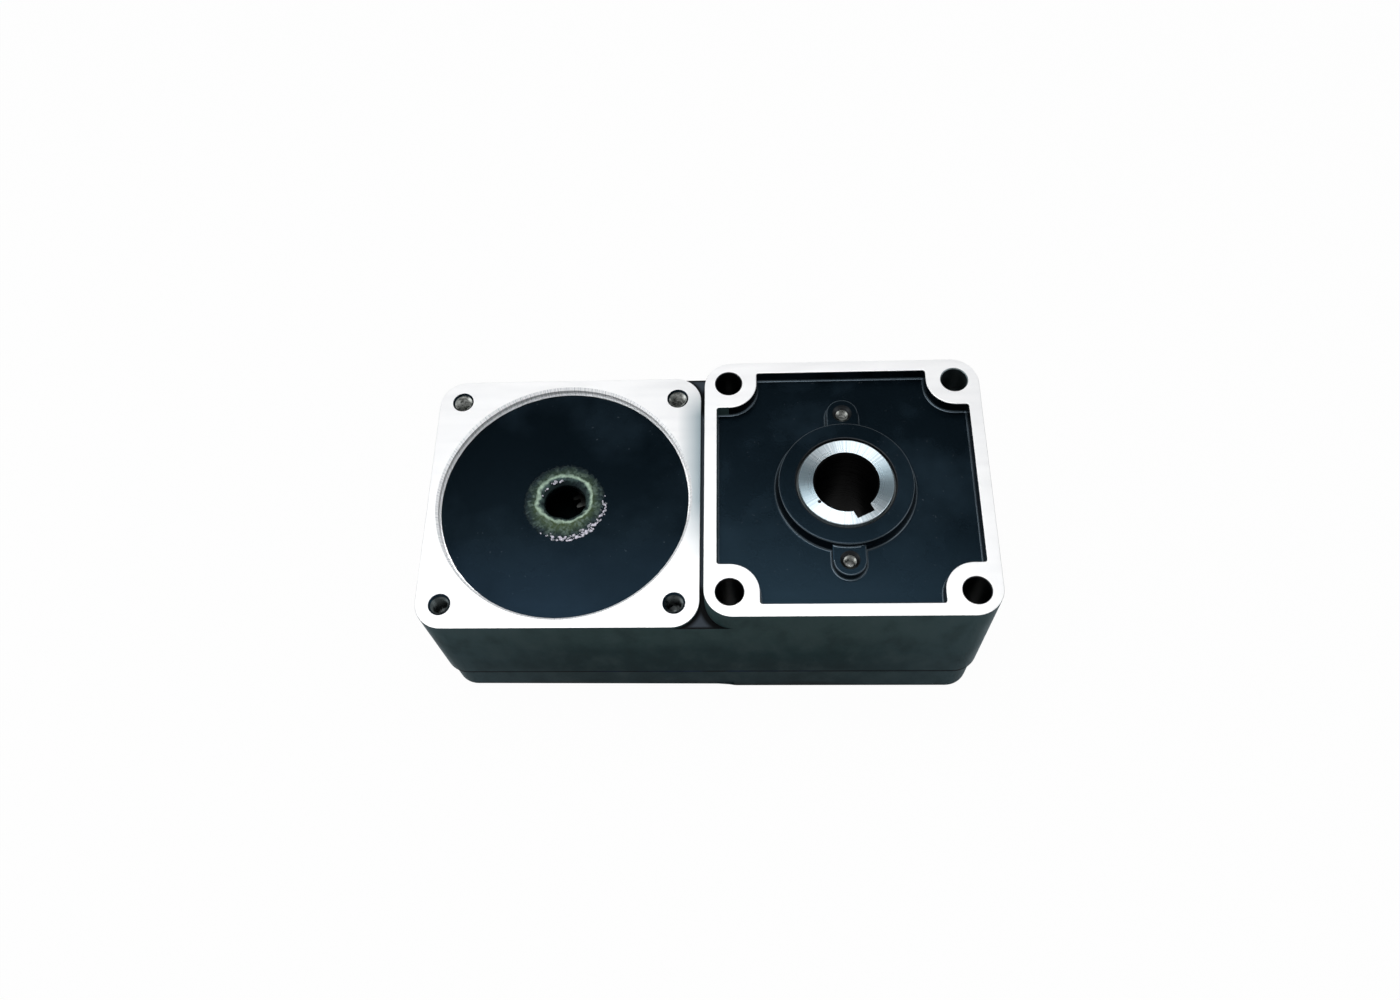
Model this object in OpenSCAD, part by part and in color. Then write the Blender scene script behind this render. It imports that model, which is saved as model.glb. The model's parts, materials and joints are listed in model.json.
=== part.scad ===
// Flat hollow-shaft gearhead for a brushless motor with a square flange.
// The origin is on the output axis, at the rear mounting face.
// +Z points out of the output pad, and the motor axis lies on the -X side.

/* [Case] */
// Width of the square motor flange and of the square output pad
pad_w = 90; // [86:0.5:94]
// Slot between the motor flange and the output pad
pad_gap = 1.5; // [0.5:0.5:3]
// Radius of the vertical corners
corner_r = 9; // [6:0.5:11]
// Thickness of the side walls
wall_t = 4.5; // [3.5:0.25:5.5]
// Height of the output pad over the rear face
output_face_z = 71; // [67:0.5:73]
// Drop from the output pad to the motor flange
face_drop = 9; // [7:0.5:10]
// Height of the joint between case and rear cover
seam_z = 18; // [16:0.5:21]
// Height by which the motor half stays clear of the rear face
rear_step = 3; // [1:0.5:4]
// Depth of the ledge between the pads, below the motor flange
ledge_drop = 1.5; // [0.5:0.25:3]
// Amount by which the rear cover is set in from the case walls
cover_inset = 1; // [0.5:0.25:2]
// Thickness of the cover floor
floor_t = 4; // [3:0.5:5]
// Thickness of the gasket in the joint
gasket_t = 0.4; // [0.2:0.1:0.8]

/* [Output pad] */
// Distance of the mounting holes from the pad's sides
mount_edge = 8; // [7:0.25:10]
// Diameter of the mounting holes
mount_hole_d = 8.5; // [6.6:0.1:9]
// Edge break of the mounting holes
mount_chamfer = 0.3; // [0.2:0.1:0.6]
// Depth of the recess in the pad
recess_depth = 5; // [3:0.5:6]
// Width of the machined rim round the recess
rim_w = 4.1; // [3:0.1:5]
// Radius of the corner lands round the mounting holes
land_r = 9.2; // [7:0.1:10]
// Thickness of the pad floor
pad_floor_t = 5; // [4:0.5:6]
// Wall of the round boss outside the seal seat
boss_rim_w = 1.5; // [1.25:0.25:3]
// Distance of the boss top below the pad face
boss_drop = 0.4; // [0:0.1:1]
// Diameter of the opening round the hollow shaft
boss_opening_d = 31.5; // [31:0.25:34]
// Distance of the safety cover holes from the boss
ear_gap = 4.5; // [4:0.25:6.5]
// Diameter of the safety cover holes
ear_hole_d = 4; // [3:0.1:5]
// Width of the ears round the safety cover holes
ear_w = 10.4; // [9:0.2:13]
// Height of the ears over the recess floor
ear_h = 3; // [2:0.25:4]

/* [Motor flange] */
// Width of the flange beside the pilot recess that centres the motor
pilot_edge = 3.5; // [3:0.25:5]
// Depth of the pilot recess
pilot_depth = 3.3; // [2:0.1:4]
// Distance of the motor screw holes from the flange's sides
flange_edge = 8; // [7:0.25:9]
// Diameter of the tapped motor screw holes
flange_hole_d = 6; // [5:0.5:6.5]
// Depth of the tapped motor screw holes
flange_hole_depth = 10; // [8:0.5:14]
// Width of the countersink of the tapped motor screw holes
flange_sink = 0.6; // [0.3:0.1:1]
// Diameter of the hole for the motor pinion
pinion_hole_d = 14.4; // [13:0.2:15]
// Diameter of the countersink round the pinion hole
pinion_sink_d = 20; // [18:0.5:22]
// Depth of the countersink round the pinion hole
pinion_sink_depth = 1.5; // [0.5:0.25:2]
// Thickness of the web under the pilot recess
web_t = 5.5; // [5:0.25:6.5]

/* [Hollow shaft] */
// Diameter of the bore that takes the driven shaft
bore_d = 20; // [16:0.5:21]
// Width of the keyway in the bore
bore_key_w = 6; // [4:0.5:8]
// Depth of the keyway, from the bore wall outwards
bore_key_depth = 2.8; // [1.8:0.1:3.3]
// Turn of the keyway round the output axis at rest
bore_key_angle = -64; // [-180:1:180]
// Step of the shaft, from the bearing seats up to the gear seat
gear_seat_step = 2.5; // [2:0.25:2.75]
// Step of the shaft, from the gear seat up to the collar
collar_step = 3; // [1.5:0.25:4.5]
// Share of the room between the output bearings that the collar fills
collar_share = 0.11; // [0.05:0.01:0.16]
// Distance of the front shaft end below the pad face
front_sink = 0.2; // [0:0.1:0.5]
// Distance of the rear shaft end from the rear face
rear_sink = 0.5; // [0:0.1:0.7]

/* [Gears] */
// Teeth of the output gear
output_teeth = 50; // [48:1:50]
// Teeth of the pinion on the second shaft
second_pinion_teeth = 14; // [13:1:15]
// Teeth of the gear on the second shaft
second_gear_teeth = 36; // [34:1:37]
// Teeth of the pinion on the first shaft
first_pinion_teeth = 13; // [12:1:14]
// Teeth of the gear that the motor pinion drives
first_gear_teeth = 34; // [32:1:36]
// Teeth of the motor pinion, which belongs to the motor
motor_pinion_teeth = 9; // [8:1:10]
// Share of the axis distance between the output shaft and the second shaft
output_reach_share = 0.5246; // [0.51:0.001:0.53]
// Share of the axis distance between the second shaft and the first shaft
second_reach_share = 0.3347; // [0.32:0.001:0.35]
// Share of the axis distance between the first shaft and the motor
first_reach_share = 0.235; // [0.23:0.001:0.25]
// Distance of the second shaft from the line of the two axes
second_offset = 4; // [2:0.5:7]
// Share of the room between the output bearings that the output gear fills
output_gear_share = 0.3; // [0.24:0.01:0.33]
// Share of that room that the second gear fills
second_gear_share = 0.22; // [0.16:0.01:0.25]
// Share of that room that the first gear fills
first_gear_share = 0.2; // [0.16:0.01:0.22]
// Play between meshing teeth, along the pitch circle
backlash = 0.16; // [0.1:0.01:0.3]

/* [Bearings] */
// Bore of the output bearings, which is the shaft end diameter
output_bearing_bore = 30; // [29:0.25:31]
// Section height of the output bearings, from the bore to the outside
output_section = 8.5; // [8:0.25:9.5]
// Width of the output bearings
output_bearing_w = 9; // [8:0.5:10]
// Share of the output bearings' section that their balls fill
output_ball_share = 0.588; // [0.53:0.002:0.63]
// Balls in each output bearing
output_balls = 14; // [10:1:16]
// Bore of the second shaft's bearings
second_bearing_bore = 10; // [9:0.25:11]
// Section height of the second shaft's bearings
second_section = 6; // [5.5:0.25:6.5]
// Width of the second shaft's bearings
second_bearing_w = 6; // [5.5:0.25:6.5]
// Share of the section of the second shaft's bearings that their balls fill
second_ball_share = 0.533; // [0.47:0.002:0.57]
// Balls in each of the second shaft's bearings
second_balls = 10; // [8:1:11]
// Section height of the first shaft's bearings
first_section = 7; // [6.5:0.25:7.5]
// Width of the first shaft's bearings
first_bearing_w = 7; // [6:0.25:7.5]
// Share of the section of the first shaft's bearings that their balls fill
first_ball_share = 0.571; // [0.49:0.002:0.59]
// Balls in each of the first shaft's bearings
first_balls = 7; // [6:1:8]

/* [Seals and fasteners] */
// Share of the output bearings' section that the shaft seals fill
seal_share = 0.588; // [0.5:0.002:0.64]
// Width of the shaft seals
seal_w = 4.5; // [4:0.25:5]
// Thickness of the boss lip in front of the front seal
lip_t = 2.1; // [1.5:0.1:3]
// Diameter of the cover screws
screw_d = 4; // [3:0.5:5]
// Length of the cover screws under the head
screw_len = 22; // [18:1:28]
// Diameter of the dowel pins
dowel_d = 5; // [4:0.5:6]
// Length of the dowel pins
dowel_len = 12; // [10:1:16]

/* [Hidden] */

// Smoothness of round and of rounded shapes
$fn = 96;
corner_steps = 12;
fillet_steps = 5;
flank_steps = 4;

// Clearances that the fits share
seat_gap = 0.02;
run_gap = 0.05;
ball_gap = 0.05;
pocket_gap = 0.15;
bearing_relief = 0.5;
layer_gap = 2;
gear_gap = 1.5;
overrun = 1;

// Finishing sizes of the case
boss_draft = 0.5;
boss_fillet = 1;
boss_round = 0.6;
recess_fillet = 0.8;
ear_sink = 1.1;
inner_corner_r = 4;
boss_wall = 3;
output_boss_wall = 3.5;
pocket_skin = 2.4;
web_skin = 1.7;
column_r = 8;
screw_land_r = 5;
dowel_land_r = 5;
screw_x = 27;
screw_edge = 5.5;
dowel_edge = 7;
gasket_inset = 0.4;

// Finishing sizes of the turned pieces
edge_break = 0.5;
nose_break = 0.2;
head_share = 1.75;
head_h_share = 1;
hex_share = 0.75;
hex_depth_share = 0.5;
web_share = 0.2;
rim_teeth = 3;
hub_wall = 3;
shoulder_h = 1;
head_sink = 0.5;
head_gap = 0.25;
rear_seal_sink = 0.75;
snap_w = 1.5;
snap_h = 2;
snap_groove = 0.9;
snap_open = 12;
shim_w = 1;
key_w = 5;
key_h = 5;
key_sink = 3;
output_key_angle = 116;
small_key_w = 3;
small_key_h = 3;
small_key_sink = 1.8;
first_seat_d = 12;
second_seat_d = 14;
neck_d = 11;
first_collar_d = 16;
first_collar_w = 3;
pinion_overhang = 0.5;
race_share = 0.3;
cage_t = 1;
cage_wall = 0.5;
seal_case_share = 0.24;
seal_flange_share = 0.44;
seal_lip_share = 0.28;

// Involute teeth
pressure_angle = 20;
pinion_shift = 0.3;
root_share = 1.25;

// Plan of the case
pad_half = pad_w / 2;
axis_gap = pad_w + pad_gap;
motor_x = -axis_gap;
motor_face_z = output_face_z - face_drop;
case_left = motor_x - pad_half;
case_right = pad_half;
waist_x = -pad_half - pad_gap / 2;
ledge_z = motor_face_z - ledge_drop;
case_z = seam_z + gasket_t;
recess_z = output_face_z - recess_depth;
pad_ceiling_z = recess_z - pad_floor_t;
pilot_z = motor_face_z - pilot_depth;
web_z = pilot_z - web_t;
recess_half = pad_half - rim_w;
hole_half = pad_half - mount_edge;
flange_half = pad_half - flange_edge;
pilot_r = pad_half - pilot_edge;

// Diameters that follow the bearings' section
output_bearing_d = output_bearing_bore + 2 * output_section;
inner_bearing_d = second_bearing_bore + 2 * second_section;
first_bearing_bore = inner_bearing_d - 2 * first_section;
output_ball_d = output_ball_share * output_section;
second_ball_d = second_ball_share * second_section;
first_ball_d = first_ball_share * first_section;
seal_section = seal_share * output_section;
seal_d = output_bearing_bore + 2 * seal_section;
boss_d = seal_d + 2 * boss_rim_w;
ear_pitch = boss_d + 2 * ear_gap;
gear_seat_d = output_bearing_bore + 2 * gear_seat_step;
collar_d = gear_seat_d + 2 * collar_step;

// Gear centres: each pair stands at its pitch distance, from which its module follows
output_reach = output_reach_share * axis_gap;
second_reach = second_reach_share * axis_gap;
first_reach = first_reach_share * axis_gap;
output_module = 2 * output_reach / (output_teeth + second_pinion_teeth);
second_module = 2 * second_reach / (second_gear_teeth + first_pinion_teeth);
first_module = 2 * first_reach / (first_gear_teeth + motor_pinion_teeth);
output_r = output_module * output_teeth / 2;
second_r = second_module * second_gear_teeth / 2;
first_r = first_module * first_gear_teeth / 2;
second_pos = [-sqrt(output_reach * output_reach - second_offset * second_offset), -second_offset];
motor_to_second = second_pos - [motor_x, 0];
chain = norm(motor_to_second);
along = (chain * chain + first_reach * first_reach - second_reach * second_reach) / (2 * chain);
across = sqrt(first_reach * first_reach - along * along);
chain_dir = motor_to_second / chain;
first_pos = [motor_x, 0] + along * chain_dir + across * [-chain_dir[1], chain_dir[0]];

// Tooth phases that put every pair in mesh at rest
second_line = atan2(second_pos[1], second_pos[0]);
second_pinion_phase = mesh_phase(second_line, 0, output_teeth, second_pinion_teeth);
first_line = atan2(first_pos[1] - second_pos[1], first_pos[0] - second_pos[0]);
first_pinion_phase = mesh_phase(first_line, 0, second_gear_teeth, first_pinion_teeth);

// Heights of the output shaft's pieces, from the rear face upwards
shaft_front_z = output_face_z - front_sink;
boss_z = output_face_z - boss_drop;
front_seal_top = boss_z - lip_t;
front_seal_z = front_seal_top - seal_w;
front_bearing_top = front_seal_z - bearing_relief;
front_bearing_z = front_bearing_top - output_bearing_w;
rear_seal_z = rear_sink + rear_seal_sink;
rear_bearing_z = rear_seal_z + seal_w + bearing_relief;
rear_bearing_top = rear_bearing_z + output_bearing_w;

// Heights of the gears
gear_room = front_bearing_z - rear_bearing_top;
output_gear_w = output_gear_share * gear_room;
second_gear_w = second_gear_share * gear_room;
first_gear_w = first_gear_share * gear_room;
collar_w = collar_share * gear_room;
second_gear_z = rear_bearing_top + gear_gap;
second_gear_top = second_gear_z + second_gear_w;
output_gear_z = second_gear_top + layer_gap;
output_gear_top = output_gear_z + output_gear_w;
snap_top_z = output_gear_z;
second_pinion_z = output_gear_z - pinion_overhang;
second_pinion_top = output_gear_top + pinion_overhang;
first_pinion_z = second_gear_z - pinion_overhang;
first_pinion_top = second_gear_top + pinion_overhang;

// Heights of the inner shafts' bearings
inner_rear_z = rear_step + pocket_skin;
inner_front_top = pilot_z - web_skin;
first_rear_top = inner_rear_z + first_bearing_w;
first_front_z = inner_front_top - first_bearing_w;
second_rear_top = inner_rear_z + second_bearing_w;
second_front_z = inner_front_top - second_bearing_w;
first_gear_top = first_front_z - shim_w;
first_gear_z = first_gear_top - first_gear_w;

// Places of the columns, screws and dowels
flange_holes = [for (sx = [-1, 1], sy = [-1, 1]) [motor_x + sx * flange_half, sy * flange_half]];
pad_holes = [for (sx = [-1, 1], sy = [-1, 1]) [sx * hole_half, sy * hole_half]];
side_screws = [for (sx = [-1, 1], sy = [-1, 1]) [sx * screw_x, sy * (pad_half - screw_edge)]];
dowels = [for (sy = [-1, 1]) [waist_x, sy * (pad_half - dowel_edge)]];

// Points of an arc, from one angle to another
function arc(cx, cy, r, from, to, steps) =
    [for (i = [0 : steps]) let (a = from + (to - from) * i / steps) [cx + r * cos(a), cy + r * sin(a)]];

// Outline of a rectangle with rounded corners
function rounded_outline(x0, x1, half, r) = concat(
    arc(x1 - r, half - r, r, 0, 90, corner_steps),
    arc(x0 + r, half - r, r, 90, 180, corner_steps),
    arc(x0 + r, r - half, r, 180, 270, corner_steps),
    arc(x1 - r, r - half, r, 270, 360, corner_steps)
);

// Turns a point about the origin
function turned(p, a) = [p[0] * cos(a) - p[1] * sin(a), p[0] * sin(a) + p[1] * cos(a)];

// One corner of the recess: two small fillets with the round land between them
function recess_corner() = let (
    edge = hole_half - land_r,
    f = recess_fillet
) concat(
    arc(recess_half - f, edge - f, f, 0, 90, fillet_steps),
    arc(hole_half, hole_half, land_r, 270, 180, corner_steps),
    arc(edge - f, recess_half - f, f, 0, 90, fillet_steps)
);

function recess_outline() = [for (q = [0 : 3], p = recess_corner()) turned(p, 360 / 4 * q)];

// Outline of the two ears, as one bar with round ends across the boss
function ears_outline() = concat(
    arc(0, ear_pitch / 2, ear_w / 2, 0, 180, corner_steps),
    arc(0, -ear_pitch / 2, ear_w / 2, 180, 360, corner_steps)
);

// Involute function, in degrees
function involute(a) = tan(a) * 180 / PI - a;

// Half of a tooth's angle at radius rho
function tooth_half(teeth, shift, pitch_r, rho) =
    360 / teeth / 4 + 2 * shift * tan(pressure_angle) / teeth * 180 / PI
    - backlash / 4 / pitch_r * 180 / PI
    + involute(pressure_angle) - involute(acos(min(1, pitch_r * cos(pressure_angle) / rho)));

// Radii at which a flank has points
function flank_radii(start_r, tip_r, root_r) = concat(
    root_r < start_r ? [root_r] : [],
    [for (i = [0 : flank_steps]) start_r + (tip_r - start_r) * i / flank_steps]
);

function polar(r, a) = [r * cos(a), r * sin(a)];

// Outline of a spur gear with one tooth centred on +X
function gear_outline(module_mm, teeth, shift) = let (
    pitch_r = module_mm * teeth / 2,
    base_r = pitch_r * cos(pressure_angle),
    tip_r = pitch_r + module_mm * (1 + shift),
    root_r = pitch_r - module_mm * (root_share - shift),
    start_r = max(base_r, root_r),
    radii = flank_radii(start_r, tip_r, root_r),
    halves = [for (rho = radii) tooth_half(teeth, shift, pitch_r, max(rho, start_r))],
    last = len(radii) - 1
) [for (k = [0 : teeth - 1], side = [-1, 1], i = [0 : last])
    let (j = side < 0 ? i : last - i) polar(radii[j], k * 360 / teeth + side * halves[j])];

// Phase of a gear that meshes, along a line of centres, with a gear of known phase
function mesh_phase(line, driver_phase, driver_teeth, teeth) =
    line + 180 - 360 / teeth * (0.5 - (line - driver_phase) * driver_teeth / 360);

// Colours, as the object shows them
module painted() { color([0.09, 0.12, 0.14]) children(); }
module bare_steel() { color([0.78, 0.79, 0.8]) children(); }
module gear_steel() { color([0.5, 0.52, 0.54]) children(); }
module ring_steel() { color([0.68, 0.7, 0.72]) children(); }
module cage_brass() { color([0.72, 0.62, 0.36]) children(); }
module black_oxide() { color([0.13, 0.13, 0.14]) children(); }
module seal_rubber() { color([0.16, 0.17, 0.18]) children(); }

module prism(outline, z0, z1) {
    translate([0, 0, z0]) linear_extrude(z1 - z0) polygon(outline);
}

module disc(r, z0, z1) {
    translate([0, 0, z0]) cylinder(h = z1 - z0, r = r);
}

module cone(r0, r1, z0, z1) {
    translate([0, 0, z0]) cylinder(h = z1 - z0, r1 = r0, r2 = r1);
}

module tube(r_in, r_out, z0, z1) {
    translate([0, 0, z0]) rotate_extrude() translate([r_in, 0]) square([r_out - r_in, z1 - z0]);
}

module at(p) {
    translate([p[0], p[1], 0]) children();
}

// Round columns that stand in the cavity and carry screws, dowels and mounting holes
module columns_plan() {
    for (p = flange_holes) translate(p) circle(r = column_r);
    for (p = pad_holes) translate(p) circle(r = land_r);
    for (p = side_screws) translate(p) circle(r = screw_land_r);
    for (p = dowels) translate(p) circle(r = dowel_land_r);
}

// Inner space between two heights, from x0 to the output end
module cavity(x0, z0, z1) {
    translate([0, 0, z0]) linear_extrude(z1 - z0) difference() {
        polygon(rounded_outline(x0, case_right - wall_t, pad_half - wall_t, inner_corner_r));
        columns_plan();
    }
}

// Countersink that opens upwards at height z
module sink_up(r, depth, z) {
    cone(r, r + depth + overrun, z - depth, z + overrun);
}

// Countersink that opens downwards at height z
module sink_down(r, depth, z) {
    cone(r + depth + overrun, r, z - overrun, z + depth);
}

// Height of a cover screw's tip, for a cover face at a given height
function screw_tip_z(face_z) = face_z + head_sink + screw_d * head_h_share + screw_len;

// Hole for a cover screw or its thread, between two heights
module screw_hole(z0, z1) {
    disc(screw_d / 2 + seat_gap, z0 - overrun, z1 + overrun);
}

// Cast and machined case with the motor flange and the output pad
module gear_case() {
    painted() difference() {
        union() {
            difference() {
                case_block();
                cavity(case_left + wall_t, case_z - overrun, web_z);
                cavity(wall_t - pad_half, case_z - overrun, pad_ceiling_z);
                prism(recess_outline(), recess_z, output_face_z + overrun);
            }
            case_bosses();
            output_boss();
            prism(ears_outline(), recess_z - overrun, recess_z + ear_h);
        }
        pad_slot();
        case_pockets();
        motor_flange_cuts();
        output_pad_cuts();
        for (p = flange_holes) at(p) screw_hole(case_z, screw_tip_z(rear_step));
        for (p = side_screws) at(p) screw_hole(case_z, screw_tip_z(0));
        for (p = dowels) at(p) dowel_hole();
    }
}

module case_block() {
    prism(rounded_outline(case_left, case_right, pad_half, corner_r), case_z, ledge_z);
    prism(rounded_outline(case_left, motor_x + pad_half, pad_half, corner_r), web_z, motor_face_z);
    prism(rounded_outline(-pad_half, case_right, pad_half, corner_r), web_z, output_face_z);
}

// Slot between the pads, which also trims the boss that reaches under it
module pad_slot() {
    translate([-pad_half - pad_gap, -pad_half, ledge_z]) cube([
        pad_gap,
        pad_w,
        output_face_z - ledge_z + overrun
    ]);
}

// Bearing bosses that hang from the ceiling
module case_bosses() {
    r = inner_bearing_d / 2 + boss_wall;
    at(first_pos) disc(r, first_front_z, web_z + overrun);
    at(second_pos) disc(r, second_front_z, pad_ceiling_z + overrun);
    disc(output_bearing_d / 2 + output_boss_wall, front_bearing_z, pad_ceiling_z + overrun);
}

// Round boss on the pad floor, with a fillet at its foot and a rounded rim
module output_boss() {
    top_r = boss_d / 2;
    foot_r = top_r + boss_draft;
    rotate_extrude() polygon(concat(
        [[boss_opening_d / 2 - overrun, recess_z - overrun]],
        [[foot_r + boss_fillet, recess_z - overrun]],
        arc(foot_r + boss_fillet, recess_z + boss_fillet, boss_fillet, 270, 180, fillet_steps),
        arc(top_r - boss_round, boss_z - boss_round, boss_round, 0, 90, fillet_steps),
        [[boss_opening_d / 2 - overrun, boss_z]]
    ));
}

// Bearing and seal seats, bored from the open side
module case_pockets() {
    r = inner_bearing_d / 2 + seat_gap;
    relief_top = inner_front_top + bearing_relief;
    at(first_pos) disc(r, first_front_z - overrun, inner_front_top);
    at(first_pos) disc(relief_r(first_bearing_bore, first_ball_d), first_front_z, relief_top);
    at(second_pos) disc(r, second_front_z - overrun, inner_front_top);
    at(second_pos) disc(relief_r(second_bearing_bore, second_ball_d), second_front_z, relief_top);
    disc(output_bearing_d / 2 + seat_gap, front_bearing_z - overrun, front_bearing_top);
    disc(seal_d / 2 + seat_gap, front_bearing_z, front_seal_top);
    disc(boss_opening_d / 2, front_bearing_z, output_face_z + overrun);
}

// Pilot recess, tapped holes and pinion hole of the motor flange
module motor_flange_cuts() {
    r = flange_hole_d / 2;
    at([motor_x, 0]) {
        disc(pilot_r, pilot_z, motor_face_z + overrun);
        disc(pinion_hole_d / 2, web_z - overrun, pilot_z + overrun);
        cone(pinion_hole_d / 2, pinion_sink_d / 2, pilot_z - pinion_sink_depth, pilot_z);
        disc(pinion_sink_d / 2, pilot_z, motor_face_z);
    }
    for (p = flange_holes) at(p) {
        disc(r, motor_face_z - flange_hole_depth, motor_face_z + overrun);
        cone(0, r, motor_face_z - flange_hole_depth - r / 2, motor_face_z - flange_hole_depth);
        sink_up(r, flange_sink, motor_face_z);
    }
}

// Mounting holes and the tapped holes of the two ears
module output_pad_cuts() {
    for (p = pad_holes) at(p) {
        disc(mount_hole_d / 2, case_z - overrun, output_face_z + overrun);
        sink_up(mount_hole_d / 2, mount_chamfer, output_face_z);
    }
    ear_z = recess_z + ear_h;
    r = ear_hole_d / 2;
    for (side = [-1, 1]) at([0, side * ear_pitch / 2]) {
        disc(r, recess_z - pad_floor_t / 2, ear_z + overrun);
        sink_up(r, ear_sink, ear_z);
    }
}

module dowel_hole() {
    disc(dowel_d / 2 + seat_gap, seam_z - dowel_len / 2, seam_z + dowel_len / 2);
}

// Free radius in a pocket's floor, which keeps the inner ring and the shaft end clear
function relief_r(bore, ball) = (bore + inner_bearing_d) / 4 + race_share * ball - seat_gap;

// Rear cover with the rear mounting face under the output half
module rear_cover() {
    inset_r = corner_r - cover_inset;
    left = case_left + cover_inset;
    right = case_right - cover_inset;
    half = pad_half - cover_inset;
    painted() difference() {
        union() {
            difference() {
                union() {
                    prism(rounded_outline(left, right, half, inset_r), rear_step, seam_z);
                    prism(rounded_outline(-half, right, half, inset_r), 0, rear_step + overrun);
                }
                cavity(case_left + wall_t, rear_step + floor_t, seam_z + overrun);
                cavity(wall_t - pad_half, floor_t, seam_z + overrun);
            }
            cover_bosses();
        }
        cover_pockets();
        for (p = pad_holes) at(p) {
            disc(mount_hole_d / 2, -overrun, seam_z + overrun);
            sink_down(mount_hole_d / 2, mount_chamfer, 0);
        }
        for (p = flange_holes) at(p) cover_screw_hole(rear_step);
        for (p = side_screws) at(p) cover_screw_hole(0);
        for (p = dowels) at(p) dowel_hole();
    }
}

// Bearing bosses that stand on the cover floor
module cover_bosses() {
    r = inner_bearing_d / 2 + boss_wall;
    at(first_pos) disc(r, rear_step + overrun / 2, first_rear_top);
    at(second_pos) disc(r, rear_step + overrun / 2, second_rear_top);
    disc(output_bearing_d / 2 + output_boss_wall, overrun / 2, rear_bearing_top);
}

module cover_pockets() {
    r = inner_bearing_d / 2 + seat_gap;
    relief_z = inner_rear_z - bearing_relief;
    at(first_pos) disc(r, inner_rear_z, seam_z);
    at(first_pos) disc(relief_r(first_bearing_bore, first_ball_d), relief_z, seam_z);
    at(second_pos) disc(r, inner_rear_z, seam_z);
    at(second_pos) disc(relief_r(second_bearing_bore, second_ball_d), relief_z, seam_z);
    disc(output_bearing_d / 2 + seat_gap, rear_bearing_z, seam_z);
    disc(seal_d / 2 + seat_gap, -overrun, seam_z);
}

// Stepped hole that sinks a cover screw's head below the face
module cover_screw_hole(face_z) {
    head_top = face_z + head_sink + screw_d * head_h_share;
    disc(screw_d * head_share / 2 + head_gap, face_z - overrun, head_top);
    disc(screw_d / 2 + seat_gap, face_z, seam_z + overrun);
}

// Thin gasket that closes the joint
module case_gasket() {
    left = case_left + gasket_inset;
    right = case_right - gasket_inset;
    outline = rounded_outline(left, right, pad_half - gasket_inset, corner_r - gasket_inset);
    color([0.1, 0.17, 0.3]) difference() {
        prism(outline, seam_z, case_z);
        cavity(case_left + wall_t, seam_z - overrun, case_z + overrun);
        for (p = concat(flange_holes, side_screws)) at(p) screw_hole(seam_z, case_z);
        for (p = dowels) at(p) disc(dowel_d / 2 + seat_gap, seam_z - overrun, case_z + overrun);
        for (p = pad_holes) at(p) disc(mount_hole_d / 2, seam_z - overrun, case_z + overrun);
    }
}

// Socket head screw, standing head down on the rear side
module cover_screw(face_z) {
    head_z = face_z + head_sink;
    head_top = head_z + screw_d * head_h_share;
    head_r = screw_d * head_share / 2;
    hex_r = screw_d * hex_share / 2;
    difference() {
        union() {
            disc(head_r, head_z, head_top);
            disc(screw_d / 2, head_top - overrun, head_top + screw_len);
        }
        disc_hex(hex_r, head_z - overrun, head_z + screw_d * hex_depth_share);
    }
}

module disc_hex(r, z0, z1) {
    translate([0, 0, z0]) cylinder(h = z1 - z0, r = r / cos(30), $fn = 6);
}

module cover_screws() {
    black_oxide() {
        for (p = flange_holes) at(p) cover_screw(rear_step);
        for (p = side_screws) at(p) cover_screw(0);
    }
}

module dowel_pins() {
    bare_steel() for (p = dowels) at(p) disc(
        dowel_d / 2,
        seam_z - dowel_len / 2 + seat_gap,
        seam_z + dowel_len / 2 - seat_gap
    );
}

// Steel case of a shaft seal, an angle ring whose flange lies on z = 0
module seal_case() {
    r = seal_d / 2;
    t = seal_case_share * seal_section;
    edge = r - seal_flange_share * seal_section;
    ring_steel() rotate_extrude() polygon([
        [edge, 0],
        [r, 0],
        [r, seal_w],
        [r - t, seal_w],
        [r - t, t],
        [edge, t]
    ]);
}

// Rubber of a shaft seal, bonded to the flange's edge, with its lip round the shaft
module seal_lip() {
    inner = output_bearing_bore / 2 + run_gap;
    t = seal_case_share * seal_section;
    edge = seal_d / 2 - seal_flange_share * seal_section;
    lip = inner + seal_lip_share * seal_section;
    seal_rubber() rotate_extrude() polygon([
        [inner, 0],
        [edge, 0],
        [edge, t],
        [lip, t],
        [lip, seal_w - bearing_relief],
        [inner, seal_w - bearing_relief]
    ]);
}

module at_front_seal() {
    translate([0, 0, front_seal_top]) mirror([0, 0, 1]) children();
}

module at_rear_seal() {
    translate([0, 0, rear_seal_z]) children();
}

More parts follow.
